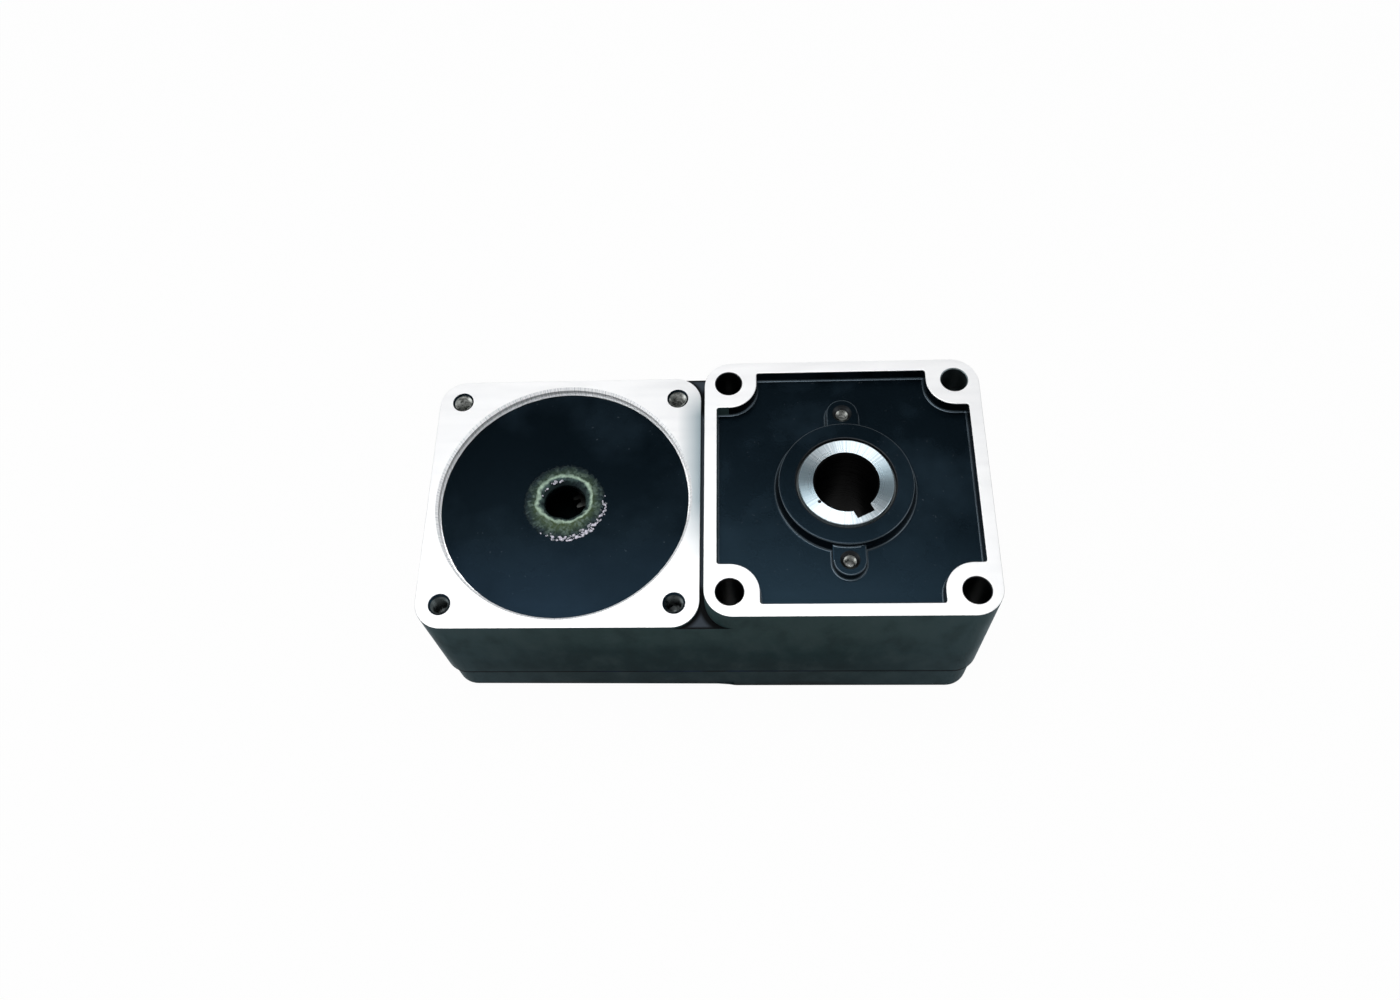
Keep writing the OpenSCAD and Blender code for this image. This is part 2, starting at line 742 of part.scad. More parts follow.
// Hollow shaft: two journals, the gear seat with its collar, and the keyed bore
module output_shaft() {
    journal_r = output_bearing_bore / 2;
    seat_r = gear_seat_d / 2;
    bore_r = bore_d / 2;
    bare_steel() difference() {
        rotate_extrude() polygon([
            [bore_r, rear_sink + edge_break],
            [bore_r + edge_break, rear_sink],
            [journal_r - nose_break, rear_sink],
            [journal_r, rear_sink + nose_break],
            [journal_r, rear_bearing_top],
            [seat_r, rear_bearing_top],
            [seat_r, snap_top_z - snap_w],
            [seat_r - snap_groove, snap_top_z - snap_w],
            [seat_r - snap_groove, snap_top_z],
            [seat_r, snap_top_z],
            [seat_r, output_gear_top],
            [collar_d / 2, output_gear_top],
            [collar_d / 2, output_gear_top + collar_w],
            [seat_r, output_gear_top + collar_w],
            [seat_r, front_bearing_z],
            [journal_r, front_bearing_z],
            [journal_r, shaft_front_z - nose_break],
            [journal_r - nose_break, shaft_front_z],
            [bore_r + edge_break, shaft_front_z],
            [bore_r, shaft_front_z - edge_break]
        ]);
        bore_keyway();
        turned_key_slot(output_key_angle, seat_r, output_gear_z, output_gear_w);
    }
}

// Keyway along the whole bore
module bore_keyway() {
    rotate([0, 0, bore_key_angle]) translate([0, -bore_key_w / 2, rear_sink - overrun]) cube([
        bore_d / 2 + bore_key_depth,
        bore_key_w,
        shaft_front_z - rear_sink + 2 * overrun
    ]);
}

// Slot for the output gear's key
module turned_key_slot(angle, seat_r, z0, length) {
    rotate([0, 0, angle]) translate([seat_r - key_sink, -key_w / 2 - seat_gap, z0]) cube([
        key_sink + overrun,
        key_w + 2 * seat_gap,
        length
    ]);
}

// Ring groove on both faces of a gear, between its hub and its rim
module web_grooves(r_in, r_out, z0, z1, depth) {
    tube(r_in, r_out, z0 - overrun, z0 + depth);
    tube(r_in, r_out, z1 - depth, z1 + overrun);
}

// Spur gear on a keyed seat
module keyed_gear(outline, seat_r, z0, z1, angle, w, h, sink, web_in, web_out) {
    gear_steel() difference() {
        prism(outline, z0, z1);
        disc(seat_r + seat_gap, z0 - overrun, z1 + overrun);
        rotate([0, 0, angle]) translate([0, -w / 2 - seat_gap, z0 - overrun]) cube([
            seat_r - sink + h + seat_gap,
            w + 2 * seat_gap,
            z1 - z0 + 2 * overrun
        ]);
        web_grooves(web_in, web_out, z0, z1, (z1 - z0) * web_share);
    }
}

module output_gear() {
    keyed_gear(
        gear_outline(output_module, output_teeth, -pinion_shift), gear_seat_d / 2,
        output_gear_z, output_gear_top, output_key_angle, key_w, key_h, key_sink,
        collar_d / 2 + hub_wall, output_r - output_module * rim_teeth
    );
}

module output_key() {
    black_oxide() rotate([0, 0, output_key_angle]) translate([
        gear_seat_d / 2 - key_sink + seat_gap,
        -key_w / 2,
        output_gear_z
    ]) cube([key_h - seat_gap, key_w, output_gear_w]);
}

// Open snap ring under the output gear
module output_snap_ring() {
    r = gear_seat_d / 2 - snap_groove + seat_gap;
    z0 = snap_top_z - snap_w + seat_gap;
    black_oxide() difference() {
        tube(r, r + snap_h, z0, snap_top_z);
        rotate([0, 0, output_key_angle]) translate([0, -snap_open / 2, z0 - overrun]) cube([
            r + snap_h + overrun,
            snap_open,
            snap_w + 2 * overrun
        ]);
    }
}

// Inner shafts: stepped and turned, with the pinion cut into the shaft
module second_shaft() {
    journal_r = second_bearing_bore / 2;
    seat_r = second_seat_d / 2;
    gear_steel() at(second_pos) {
        difference() {
            union() {
                disc(journal_r, inner_rear_z, inner_front_top);
                disc(seat_r, second_gear_z, second_pinion_top);
                disc(neck_d / 2, second_pinion_top - overrun, second_front_z);
                rotate([0, 0, second_pinion_phase]) prism(
                    gear_outline(output_module, second_pinion_teeth, pinion_shift),
                    second_pinion_z,
                    second_pinion_top
                );
                disc(seat_r + shoulder_h, second_gear_top, second_pinion_z + overrun / 2);
            }
            small_key_slot(seat_r, second_gear_z, second_gear_w);
        }
    }
}

// Slot for a small key, open towards the gear's side of the seat
module small_key_slot(seat_r, z0, length) {
    translate([seat_r - small_key_sink, -small_key_w / 2 - seat_gap, z0]) cube([
        small_key_sink + overrun,
        small_key_w + 2 * seat_gap,
        length
    ]);
}

module small_key(seat_r, z0, length) {
    black_oxide() translate([seat_r - small_key_sink + seat_gap, -small_key_w / 2, z0]) cube([
        small_key_h - seat_gap,
        small_key_w,
        length
    ]);
}

module second_gear() {
    at(second_pos) keyed_gear(
        gear_outline(second_module, second_gear_teeth, -pinion_shift), second_seat_d / 2,
        second_gear_z, second_gear_top, 0, small_key_w, small_key_h, small_key_sink,
        second_seat_d / 2 + hub_wall, second_r - second_module * rim_teeth
    );
}

module second_key() {
    at(second_pos) small_key(second_seat_d / 2, second_gear_z, second_gear_w);
}

module second_spacer() {
    bare_steel() at(second_pos) tube(
        second_bearing_bore / 2 + seat_gap,
        (second_bearing_bore + second_seat_d) / 4 + seat_gap,
        second_rear_top,
        second_gear_z
    );
}

module first_shaft() {
    journal_r = first_bearing_bore / 2;
    seat_r = first_seat_d / 2;
    gear_steel() at(first_pos) difference() {
        union() {
            disc(journal_r, inner_rear_z, inner_front_top);
            disc(neck_d / 2, first_rear_top, first_gear_z);
            disc(first_collar_d / 2, first_gear_z - first_collar_w, first_gear_z);
            disc(seat_r, first_gear_z - overrun, first_gear_top);
            rotate([0, 0, first_pinion_phase]) prism(
                gear_outline(second_module, first_pinion_teeth, pinion_shift),
                first_pinion_z,
                first_pinion_top
            );
        }
        small_key_slot(seat_r, first_gear_z, first_gear_w);
    }
}

module first_gear() {
    at(first_pos) keyed_gear(
        gear_outline(first_module, first_gear_teeth, -pinion_shift), first_seat_d / 2,
        first_gear_z, first_gear_top, 0, small_key_w, small_key_h, small_key_sink,
        first_seat_d / 2 + hub_wall, first_r - first_module * rim_teeth
    );
}

module first_key() {
    at(first_pos) small_key(first_seat_d / 2, first_gear_z, first_gear_w);
}

module first_shim() {
    bare_steel() at(first_pos) tube(
        first_bearing_bore / 2 + seat_gap,
        first_seat_d / 2 - seat_gap,
        first_gear_top,
        first_front_z
    );
}

// Outer ring of a ball bearing, with its race
module outer_ring(bore, d, w, ball, z) {
    pitch_r = (bore + d) / 4;
    ring_steel() translate([0, 0, z]) rotate_extrude() difference() {
        translate([pitch_r + race_share * ball, 0]) square([d / 2 - pitch_r - race_share * ball, w]);
        translate([pitch_r, w / 2]) circle(r = ball / 2 + ball_gap);
    }
}

// Inner ring of a ball bearing, with its race
module inner_ring(bore, d, w, ball, z) {
    pitch_r = (bore + d) / 4;
    ring_steel() translate([0, 0, z]) rotate_extrude() difference() {
        translate([bore / 2 + seat_gap, 0]) square([pitch_r - race_share * ball - bore / 2 - seat_gap, w]);
        translate([pitch_r, w / 2]) circle(r = ball / 2 + ball_gap);
    }
}

// Cage that keeps the balls apart
module cage(bore, d, w, ball, count, z) {
    pitch_r = (bore + d) / 4;
    half_h = ball / 2 + pocket_gap + cage_wall;
    mid = z + w / 2;
    cage_brass() difference() {
        tube(pitch_r - cage_t / 2, pitch_r + cage_t / 2, mid - half_h, mid + half_h);
        for (i = [0 : count - 1]) rotate([0, 0, i * 360 / count]) translate([pitch_r - cage_t, 0, mid])
            rotate([0, 90, 0]) cylinder(h = 2 * cage_t, r = ball / 2 + pocket_gap);
    }
}

module ball_row(pitch_r, r, count, mid) {
    for (i = [0 : count - 1]) rotate([0, 0, i * 360 / count]) translate([pitch_r, 0, mid]) sphere(r = r);
}

module balls(bore, d, w, ball, count, z) {
    bare_steel() ball_row((bore + d) / 4, ball / 2, count, z + w / 2);
}

module output_outer(z) {
    outer_ring(output_bearing_bore, output_bearing_d, output_bearing_w, output_ball_d, z);
}
module output_inner(z) {
    inner_ring(output_bearing_bore, output_bearing_d, output_bearing_w, output_ball_d, z);
}
module output_cage(z) {
    cage(output_bearing_bore, output_bearing_d, output_bearing_w, output_ball_d, output_balls, z);
}
module output_ball_set(z) {
    balls(output_bearing_bore, output_bearing_d, output_bearing_w, output_ball_d, output_balls, z);
}
module second_outer(z) {
    at(second_pos) outer_ring(second_bearing_bore, inner_bearing_d, second_bearing_w, second_ball_d, z);
}
module second_inner(z) {
    at(second_pos) inner_ring(second_bearing_bore, inner_bearing_d, second_bearing_w, second_ball_d, z);
}
module second_cage(z) {
    at(second_pos) cage(
        second_bearing_bore, inner_bearing_d, second_bearing_w, second_ball_d, second_balls, z
    );
}
module second_ball_set(z) {
    at(second_pos) balls(
        second_bearing_bore, inner_bearing_d, second_bearing_w, second_ball_d, second_balls, z
    );
}
module first_outer(z) {
    at(first_pos) outer_ring(first_bearing_bore, inner_bearing_d, first_bearing_w, first_ball_d, z);
}
module first_inner(z) {
    at(first_pos) inner_ring(first_bearing_bore, inner_bearing_d, first_bearing_w, first_ball_d, z);
}
module first_cage(z) {
    at(first_pos) cage(
        first_bearing_bore, inner_bearing_d, first_bearing_w, first_ball_d, first_balls, z
    );
}
module first_ball_set(z) {
    at(first_pos) balls(
        first_bearing_bore, inner_bearing_d, first_bearing_w, first_ball_d, first_balls, z
    );
}

gear_case();
rear_cover();
case_gasket();
cover_screws();
dowel_pins();
at_front_seal() seal_case();  // front_seal_case
at_front_seal() seal_lip();  // front_seal_lip
at_rear_seal() seal_case();  // rear_seal_case
at_rear_seal() seal_lip();  // rear_seal_lip
output_shaft();
output_gear();
output_key();
output_snap_ring();
output_outer(front_bearing_z);  // output_front_outer_ring
output_inner(front_bearing_z);  // output_front_inner_ring
output_cage(front_bearing_z);  // output_front_cage
output_ball_set(front_bearing_z);  // output_front_balls
output_outer(rear_bearing_z);  // output_rear_outer_ring
output_inner(rear_bearing_z);  // output_rear_inner_ring
output_cage(rear_bearing_z);  // output_rear_cage
output_ball_set(rear_bearing_z);  // output_rear_balls
second_shaft();
second_gear();
second_key();
second_spacer();
second_outer(second_front_z);  // second_front_outer_ring
second_inner(second_front_z);  // second_front_inner_ring
second_cage(second_front_z);  // second_front_cage
second_ball_set(second_front_z);  // second_front_balls
second_outer(inner_rear_z);  // second_rear_outer_ring
second_inner(inner_rear_z);  // second_rear_inner_ring
second_cage(inner_rear_z);  // second_rear_cage
second_ball_set(inner_rear_z);  // second_rear_balls
first_shaft();
first_gear();
first_key();
first_shim();
first_outer(first_front_z);  // first_front_outer_ring
first_inner(first_front_z);  // first_front_inner_ring
first_cage(first_front_z);  // first_front_cage
first_ball_set(first_front_z);  // first_front_balls
first_outer(inner_rear_z);  // first_rear_outer_ring
first_inner(inner_rear_z);  // first_rear_inner_ring
first_cage(inner_rear_z);  // first_rear_cage
first_ball_set(inner_rear_z);  // first_rear_balls
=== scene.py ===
import json
import math
import random

import bmesh
import bpy
from mathutils import Matrix, Vector, noise


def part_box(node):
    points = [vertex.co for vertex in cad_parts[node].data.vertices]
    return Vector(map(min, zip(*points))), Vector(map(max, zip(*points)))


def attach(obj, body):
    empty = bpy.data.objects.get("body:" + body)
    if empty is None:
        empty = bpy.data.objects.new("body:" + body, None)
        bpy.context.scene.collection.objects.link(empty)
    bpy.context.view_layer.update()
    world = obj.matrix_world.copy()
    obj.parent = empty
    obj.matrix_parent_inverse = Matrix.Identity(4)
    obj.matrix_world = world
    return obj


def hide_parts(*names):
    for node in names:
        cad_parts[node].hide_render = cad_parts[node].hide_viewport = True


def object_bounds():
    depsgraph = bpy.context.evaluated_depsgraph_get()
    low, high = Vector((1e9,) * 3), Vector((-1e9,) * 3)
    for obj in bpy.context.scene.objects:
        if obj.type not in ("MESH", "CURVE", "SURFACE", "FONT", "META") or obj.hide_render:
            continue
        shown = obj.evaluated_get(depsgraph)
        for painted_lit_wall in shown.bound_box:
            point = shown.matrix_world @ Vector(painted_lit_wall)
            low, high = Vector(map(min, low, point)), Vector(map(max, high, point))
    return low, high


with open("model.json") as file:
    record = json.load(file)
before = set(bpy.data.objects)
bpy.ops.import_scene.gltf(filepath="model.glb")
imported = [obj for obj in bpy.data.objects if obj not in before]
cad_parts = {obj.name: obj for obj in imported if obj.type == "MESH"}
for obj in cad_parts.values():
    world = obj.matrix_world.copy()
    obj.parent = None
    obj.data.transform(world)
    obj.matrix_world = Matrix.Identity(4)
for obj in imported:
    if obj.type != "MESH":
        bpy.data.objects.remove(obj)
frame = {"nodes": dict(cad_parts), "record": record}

CAD_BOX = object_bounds()
MM = 0.001

# Heights and centres of the gearhead, read from the frame
RECORD = frame["record"]
MOUNTS = {m["name"]: m for m in RECORD["mounts"]}
OUTPUT_FACE_Z = MOUNTS["front_pad_face"]["pos_m"][2]
MOTOR_FACE_Z = MOUNTS["motor_face"]["pos_m"][2]
MOTOR_X = MOUNTS["motor_pilot"]["pos_m"][0]
PILOT_R = MOUNTS["motor_pilot"]["dims"]["r_mm"] * MM
PILOT_Z = MOTOR_FACE_Z - MOUNTS["motor_pilot"]["dims"]["length_mm"] * MM
PINION_HOLE_R = MOUNTS["pinion_hole"]["dims"]["r_mm"] * MM
BORE_R = MOUNTS["output_bore"]["dims"]["r_mm"] * MM
HOLE_HALF = MOUNTS["front_pad_bolts"]["dims"]["spacing_x_mm"] / 2 * MM
EAR_HALF = MOUNTS["safety_cover_holes"]["dims"]["spacing_y_mm"] / 2 * MM

# Heights and radii that the solids of the case give, in metres
RECESS_Z = OUTPUT_FACE_Z - 0.005
EAR_TOP_Z = RECESS_Z + 0.003
BOSS_TOP_Z = OUTPUT_FACE_Z - 0.0004
SLOT_Z = MOTOR_FACE_Z - 0.0015
CASE_BOTTOM_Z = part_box("gear_case")[0].z
REAR_STEP_Z = 0.003
SEAM_Z = CASE_BOTTOM_Z - 0.0002
CORNER_R = 0.009
COVER_INSET = 0.001
BOSS_R = 0.0215
BOSS_MOUTH_R = 0.01575
BEARING_SEAT_R = 0.0238
RECESS_R = 0.033
FLANGE_SINK = 0.0006
EAR_SINK = 0.0011
FLANGE_THREAD_R = 0.003
EAR_THREAD_R = 0.002

# Slot between the motor flange and the output pad: its two sides, and the middles of the round
# corners that widen it at its ends
FLANGE_EDGE_X = -0.0465
PAD_EDGE_X = -0.045
FLANGE_ARC_X = FLANGE_EDGE_X - CORNER_R
PAD_ARC_X = PAD_EDGE_X + CORNER_R
ARC_Y = 0.036

# Reach of everything that belongs to a hole: its wall, its countersink and a little more
FLANGE_HOLE_REACH = 0.0039
EAR_HOLE_REACH = 0.00315
PAD_HOLE_REACH = 0.0047
AROUND_EAR_HOLE = 0.0035
AROUND_PAD_HOLE = 0.006


# Camera, solved from the two flanges and their holes in the photo
PHOTO_W = 1400
PHOTO_H = 1000
FOCAL_PX = 1184.6
CENTRE_PX = (672.3, 448.6)
CAMERA_MM = (-29.575, -171.263, 406.657)
CAMERA_RIGHT = (0.99763, 0.01906, -0.06606)
CAMERA_FORWARD = (-0.0671, 0.47954, -0.87495)
SENSOR_MM = 36


def add_camera():
    right = Vector(CAMERA_RIGHT).normalized()
    forward = Vector(CAMERA_FORWARD)
    forward = (forward - forward.dot(right) * right).normalized()
    up = right.cross(forward)
    turn = Matrix((right, up, -forward)).transposed().to_4x4()
    data = bpy.data.cameras.new("camera")
    data.sensor_width = SENSOR_MM
    data.lens = FOCAL_PX / PHOTO_W * SENSOR_MM
    data.shift_x = (PHOTO_W / 2 - CENTRE_PX[0]) / PHOTO_W
    data.shift_y = (CENTRE_PX[1] - PHOTO_H / 2) / PHOTO_W
    camera = bpy.data.objects.new("camera", data)
    camera.matrix_world = Matrix.Translation(Vector(CAMERA_MM) * MM) @ turn
    bpy.context.scene.collection.objects.link(camera)
    bpy.context.scene.camera = camera


add_camera()


# Material helpers
class Shader:
    """Collects the nodes of one material round its Principled shader."""

    def __init__(self, name, colour, metallic=0.0, roughness=0.5):
        self.material = bpy.data.materials.new(name)
        self.material.use_nodes = True
        self.tree = self.material.node_tree
        self.surface = self.tree.nodes["Principled BSDF"]
        self.surface.inputs["Base Color"].default_value = (*colour, 1)
        self.surface.inputs["Metallic"].default_value = metallic
        self.surface.inputs["Roughness"].default_value = roughness
        self.place = self.tree.nodes.new("ShaderNodeTexCoord").outputs["Object"]

    def put(self, kind, **values):
        made = self.tree.nodes.new(kind)
        for name, value in values.items():
            setattr(made, name, value)
        return made

    def link(self, source, target):
        self.tree.links.new(source, target)

    def centred(self, centre, scale=(1, 1, 1)):
        mapping = self.put("ShaderNodeMapping", vector_type="TEXTURE")
        mapping.inputs["Location"].default_value = centre
        mapping.inputs["Scale"].default_value = scale
        self.link(self.place, mapping.inputs["Vector"])
        return mapping.outputs["Vector"]

    def noise(self, scale, detail=4.0, vector=None):
        texture = self.put("ShaderNodeTexNoise")
        texture.inputs["Scale"].default_value = scale
        texture.inputs["Detail"].default_value = detail
        self.link(vector or self.place, texture.inputs["Vector"])
        return texture.outputs["Fac"]

    def ramp(self, source, stops):
        node = self.put("ShaderNodeValToRGB")
        elements = node.color_ramp.elements
        while len(elements) < len(stops):
            elements.new(0.5)
        for element, (place, colour) in zip(elements, stops):
            element.position = place
            element.color = (*colour, 1)
        self.link(source, node.inputs["Fac"])
        return node.outputs["Color"]

    def span(self, source, low, high, to_low=0.0, to_high=1.0):
        node = self.put("ShaderNodeMapRange")
        limits = {"From Min": low, "From Max": high, "To Min": to_low, "To Max": to_high}
        for name, value in limits.items():
            node.inputs[name].default_value = value
        self.link(source, node.inputs["Value"])
        return node.outputs["Result"]

    def math(self, operation, first, second=None):
        node = self.put("ShaderNodeMath", operation=operation)
        for socket, value in zip(node.inputs, (first, second)):
            if isinstance(value, (int, float)):
                socket.default_value = value
            elif value is not None:
                self.link(value, socket)
        return node.outputs["Value"]

    def mix(self, factor, first, second):
        node = self.put("ShaderNodeMix", data_type="RGBA")
        for number, value in ((0, factor), (6, first), (7, second)):
            socket = node.inputs[number]
            if isinstance(value, tuple):
                socket.default_value = (*value, 1)
            elif isinstance(value, (int, float)):
                socket.default_value = value
            else:
                self.link(value, socket)
        return node.outputs[2]

    def colour(self, source):
        self.link(source, self.surface.inputs["Base Color"])
        return self

    def roughness(self, source):
        self.link(source, self.surface.inputs["Roughness"])
        return self

    def bump(self, height, distance, strength=1.0):
        node = self.put("ShaderNodeBump")
        node.inputs["Strength"].default_value = strength
        node.inputs["Distance"].default_value = distance
        self.link(height, node.inputs["Height"])
        self.link(node.outputs["Normal"], self.surface.inputs["Normal"])
        return self

    def turning(self, centre, turns):
        """Angle noise round a vertical axis: fine streaks that run outwards from the centre."""
        vector = self.centred(centre)
        split = self.put("ShaderNodeSeparateXYZ")
        self.link(vector, split.inputs["Vector"])
        angle = self.math("ARCTAN2", split.outputs["Y"], split.outputs["X"])
        wave = self.put("ShaderNodeTexNoise", noise_dimensions="1D")
        wave.inputs["Scale"].default_value = turns
        wave.inputs["Detail"].default_value = 1.5
        self.link(angle, wave.inputs["W"])
        return wave.outputs["Fac"]

    def along(self, axis):
        split = self.put("ShaderNodeSeparateXYZ")
        self.link(self.place, split.inputs["Vector"])
        return split.outputs[axis]

    def radius(self, centre, stretch=1.0):
        vector = self.centred((centre[0], centre[1], 0), (stretch, 1, 1))
        flat = self.put("ShaderNodeVectorMath", operation="MULTIPLY")
        flat.inputs[1].default_value = (1, 1, 0)
        self.link(vector, flat.inputs[0])
        length = self.put("ShaderNodeVectorMath", operation="LENGTH")
        self.link(flat.outputs["Vector"], length.inputs[0])
        return length.outputs["Value"]


# Black paint: its two base tones and the colour of its sheen
PAINT_DARK = (0.0007, 0.0018, 0.0028)
PAINT_LIGHT = (0.0062, 0.0115, 0.0165)
PAINT_SHEEN = (0.34, 0.68, 1.0)


def paint_material():
    s = Shader("black_paint", PAINT_DARK, roughness=0.42)
    s.surface.inputs["Specular IOR Level"].default_value = 0.15
    s.surface.inputs["Specular Tint"].default_value = (*PAINT_SHEEN, 1)
    cloud = s.noise(38, 6)
    specks = s.noise(900, 2)
    base = s.mix(s.span(cloud, 0.46, 0.66), PAINT_DARK, PAINT_LIGHT)
    # Painted sheen: the paint is lighter and bluer towards -Y, in place of a reflection of the lamps.
    base = s.mix(s.span(s.along("Y"), -0.012, -0.036), base, (0.006, 0.012, 0.018))
    dust = s.math("MULTIPLY", s.span(specks, 0.71, 0.76), s.span(cloud, 0.4, 0.65))
    s.colour(s.mix(s.math("MULTIPLY", dust, 0.35), base, (0.12, 0.14, 0.16)))
    s.roughness(s.span(cloud, 0.3, 0.75, 0.22, 0.34))
    return s.bump(s.noise(1900, 3), 0.00006, 0.35).material


def skin_material():
    """Paint of the upright outer walls: dull and green, with a painted reflection that makes them lighter
    under the rim and on the cover and palest at the far ends, and painted shade that darkens them at the
    foot and along the seam, where the middle of the seam is bluish."""
    s = Shader("casting_skin", (0.007, 0.02, 0.022), roughness=0.5)
    s.surface.inputs["Specular IOR Level"].default_value = 0.002
    height = s.along("Z")
    cloud = s.noise(26, 5, s.centred((0, 0, 0), (1, 1, 0.5)))
    place = s.math("ADD", s.span(height, 0, OUTPUT_FACE_Z), s.span(cloud, 0.2, 0.8, -0.08, 0.08))
    # Painted reflection and shade by height: dark at the foot and low on the case, lighter on the cover,
    # lightest under the rim.
    tone = s.ramp(place, (
        (0.0, (0.01, 0.018, 0.02)),
        (0.06, (0.022, 0.042, 0.048)),
        (0.22, (0.024, 0.045, 0.05)),
        (0.32, (0.012, 0.028, 0.032)),
        (0.55, (0.015, 0.036, 0.04)),
        (0.78, (0.036, 0.066, 0.068)),
        (1.0, (0.042, 0.074, 0.076)),
    ))
    # Painted reflection: the walls grow paler towards the far ends and are palest on the end walls.
    from_middle = s.math("ABSOLUTE", s.math("SUBTRACT", s.along("X"), MOTOR_X / 2))
    tone = s.mix(s.span(from_middle, 0.045, 0.09, 0, 0.6), tone, (0.06, 0.1, 0.115))
    tone = s.mix(s.span(from_middle, 0.085, 0.0905, 0, 0.5), tone, (0.2, 0.28, 0.32))
    stains = s.noise(110, 6, s.centred((0, 0, 0), (1, 1, 2)))
    tone = s.mix(s.span(stains, 0.5, 0.72, 0, 0.25), tone, (0.07, 0.1, 0.105))
    tone = s.mix(s.span(stains, 0.5, 0.3, 0, 0.4), tone, (0.008, 0.018, 0.02))
    # Painted shade along the seam: near black, and bluish in the middle of the seam.
    blue = s.math("MULTIPLY", s.span(from_middle, 0.045, 0.02), s.span(s.noise(90, 3), 0.42, 0.6))
    seam = s.mix(blue, (0.001, 0.003, 0.006), (0.003, 0.014, 0.045))
    off_seam = s.math("ABSOLUTE", s.math("SUBTRACT", height, SEAM_Z))
    s.colour(s.mix(s.span(off_seam, 0.0011, 0.0022), seam, tone))
    s.roughness(s.span(cloud, 0.3, 0.7, 0.28, 0.4))
    return s.bump(s.noise(1500, 3), 0.00006, 0.35).material


def edge_material():
    """Paint on the fillets and rounded rims, where it lies thin and glossy."""
    s = Shader("glossy_edges", (0.006, 0.009, 0.011), roughness=0.24)
    s.surface.inputs["Specular IOR Level"].default_value = 0.9
    s.surface.inputs["Specular Tint"].default_value = (0.66, 0.84, 1.0, 1)
    worn = s.span(s.noise(120, 4), 0.35, 0.7)
    s.colour(s.mix(worn, (0.003, 0.006, 0.008), (0.011, 0.018, 0.024)))
    return s.roughness(s.span(worn, 0, 1, 0.2, 0.34)).material


def pocket_material():
    """Floor of the slot between the pads: painted shade beside its walls, painted light in the open corners.
    """
    s = Shader("slot_floor", (0.003, 0.004, 0.005), roughness=0.5)
    s.surface.inputs["Specular IOR Level"].default_value = 0.05
    across = s.along("X")
    ahead = s.math("SUBTRACT", s.math("ABSOLUTE", s.along("Y")), ARC_Y)
    # Painted light on the open floor of the slot, falling to painted shade beside the round corner walls.
    painted_light_share = s.span(s.math("ABSOLUTE", s.along("Y")), 0.0447, 0.0441)
    for centre, start in ((FLANGE_ARC_X, 0.0096), (PAD_ARC_X, 0.0104)):
        aside = s.math("SUBTRACT", across, centre)
        squares = s.math("ADD", s.math("MULTIPLY", aside, aside), s.math("MULTIPLY", ahead, ahead))
        reach = s.math("SQRT", squares)
        painted_light_share = s.math("MULTIPLY", painted_light_share, s.span(reach, start, start + 0.0012))
    s.colour(s.mix(painted_light_share, (0.001, 0.0016, 0.0022), (0.04, 0.05, 0.062)))
    return s.bump(s.noise(1400, 3), 0.00006, 0.4).material


def machined_material():
    s = Shader("machined_aluminium", (0.92, 0.925, 0.93), metallic=0.2, roughness=0.4)
    lines = s.noise(420, 5, s.centred((0, 0, 0), (9, 1, 1)))
    tone = s.noise(30, 4)
    clean = s.ramp(s.math("ADD", s.math("MULTIPLY", lines, 0.35), s.math("MULTIPLY", tone, 0.65)), (
        (0.3, (0.88, 0.89, 0.905)),
        (0.7, (0.95, 0.955, 0.96)),
    ))
    # Painted shade and reflection: a grey band on the flange beside the slot, below the raised pad's dark
    # wall.
    pad_wall_shade = s.span(s.along("X"), FLANGE_EDGE_X - 0.008, FLANGE_EDGE_X - 0.0003)
    on_flange = s.span(s.along("X"), FLANGE_EDGE_X + 0.001, FLANGE_EDGE_X + 0.0003)
    pad_wall_shade = s.math("MULTIPLY", pad_wall_shade, on_flange)
    middle = s.math("MULTIPLY", s.span(s.along("Y"), -0.024, -0.002), s.span(s.along("Y"), 0.042, 0.03))
    s.colour(s.mix(s.math("MULTIPLY", pad_wall_shade, middle), clean, (0.3, 0.38, 0.42)))
    s.roughness(s.span(lines, 0.3, 0.7, 0.28, 0.42))
    return s.bump(lines, 0.00003, 0.4).material


def pilot_wall_material():
    """Wall and edge of the motor's pilot recess, with the ridges that the boring tool left."""
    s = Shader("bored_aluminium", (0.9, 0.91, 0.92), metallic=0.2, roughness=0.35)
    ridges = s.turning((MOTOR_X, 0, 0), 95)
    s.colour(s.ramp(ridges, (
        (0.35, (0.62, 0.66, 0.69)),
        (0.5, (0.88, 0.9, 0.92)),
        (0.65, (0.97, 0.975, 0.98)),
    )))
    return s.bump(ridges, 0.00005, 0.5).material


# Place of the punch mark on the shaft end
PUNCH_MARK = (-0.0087, -0.0069)


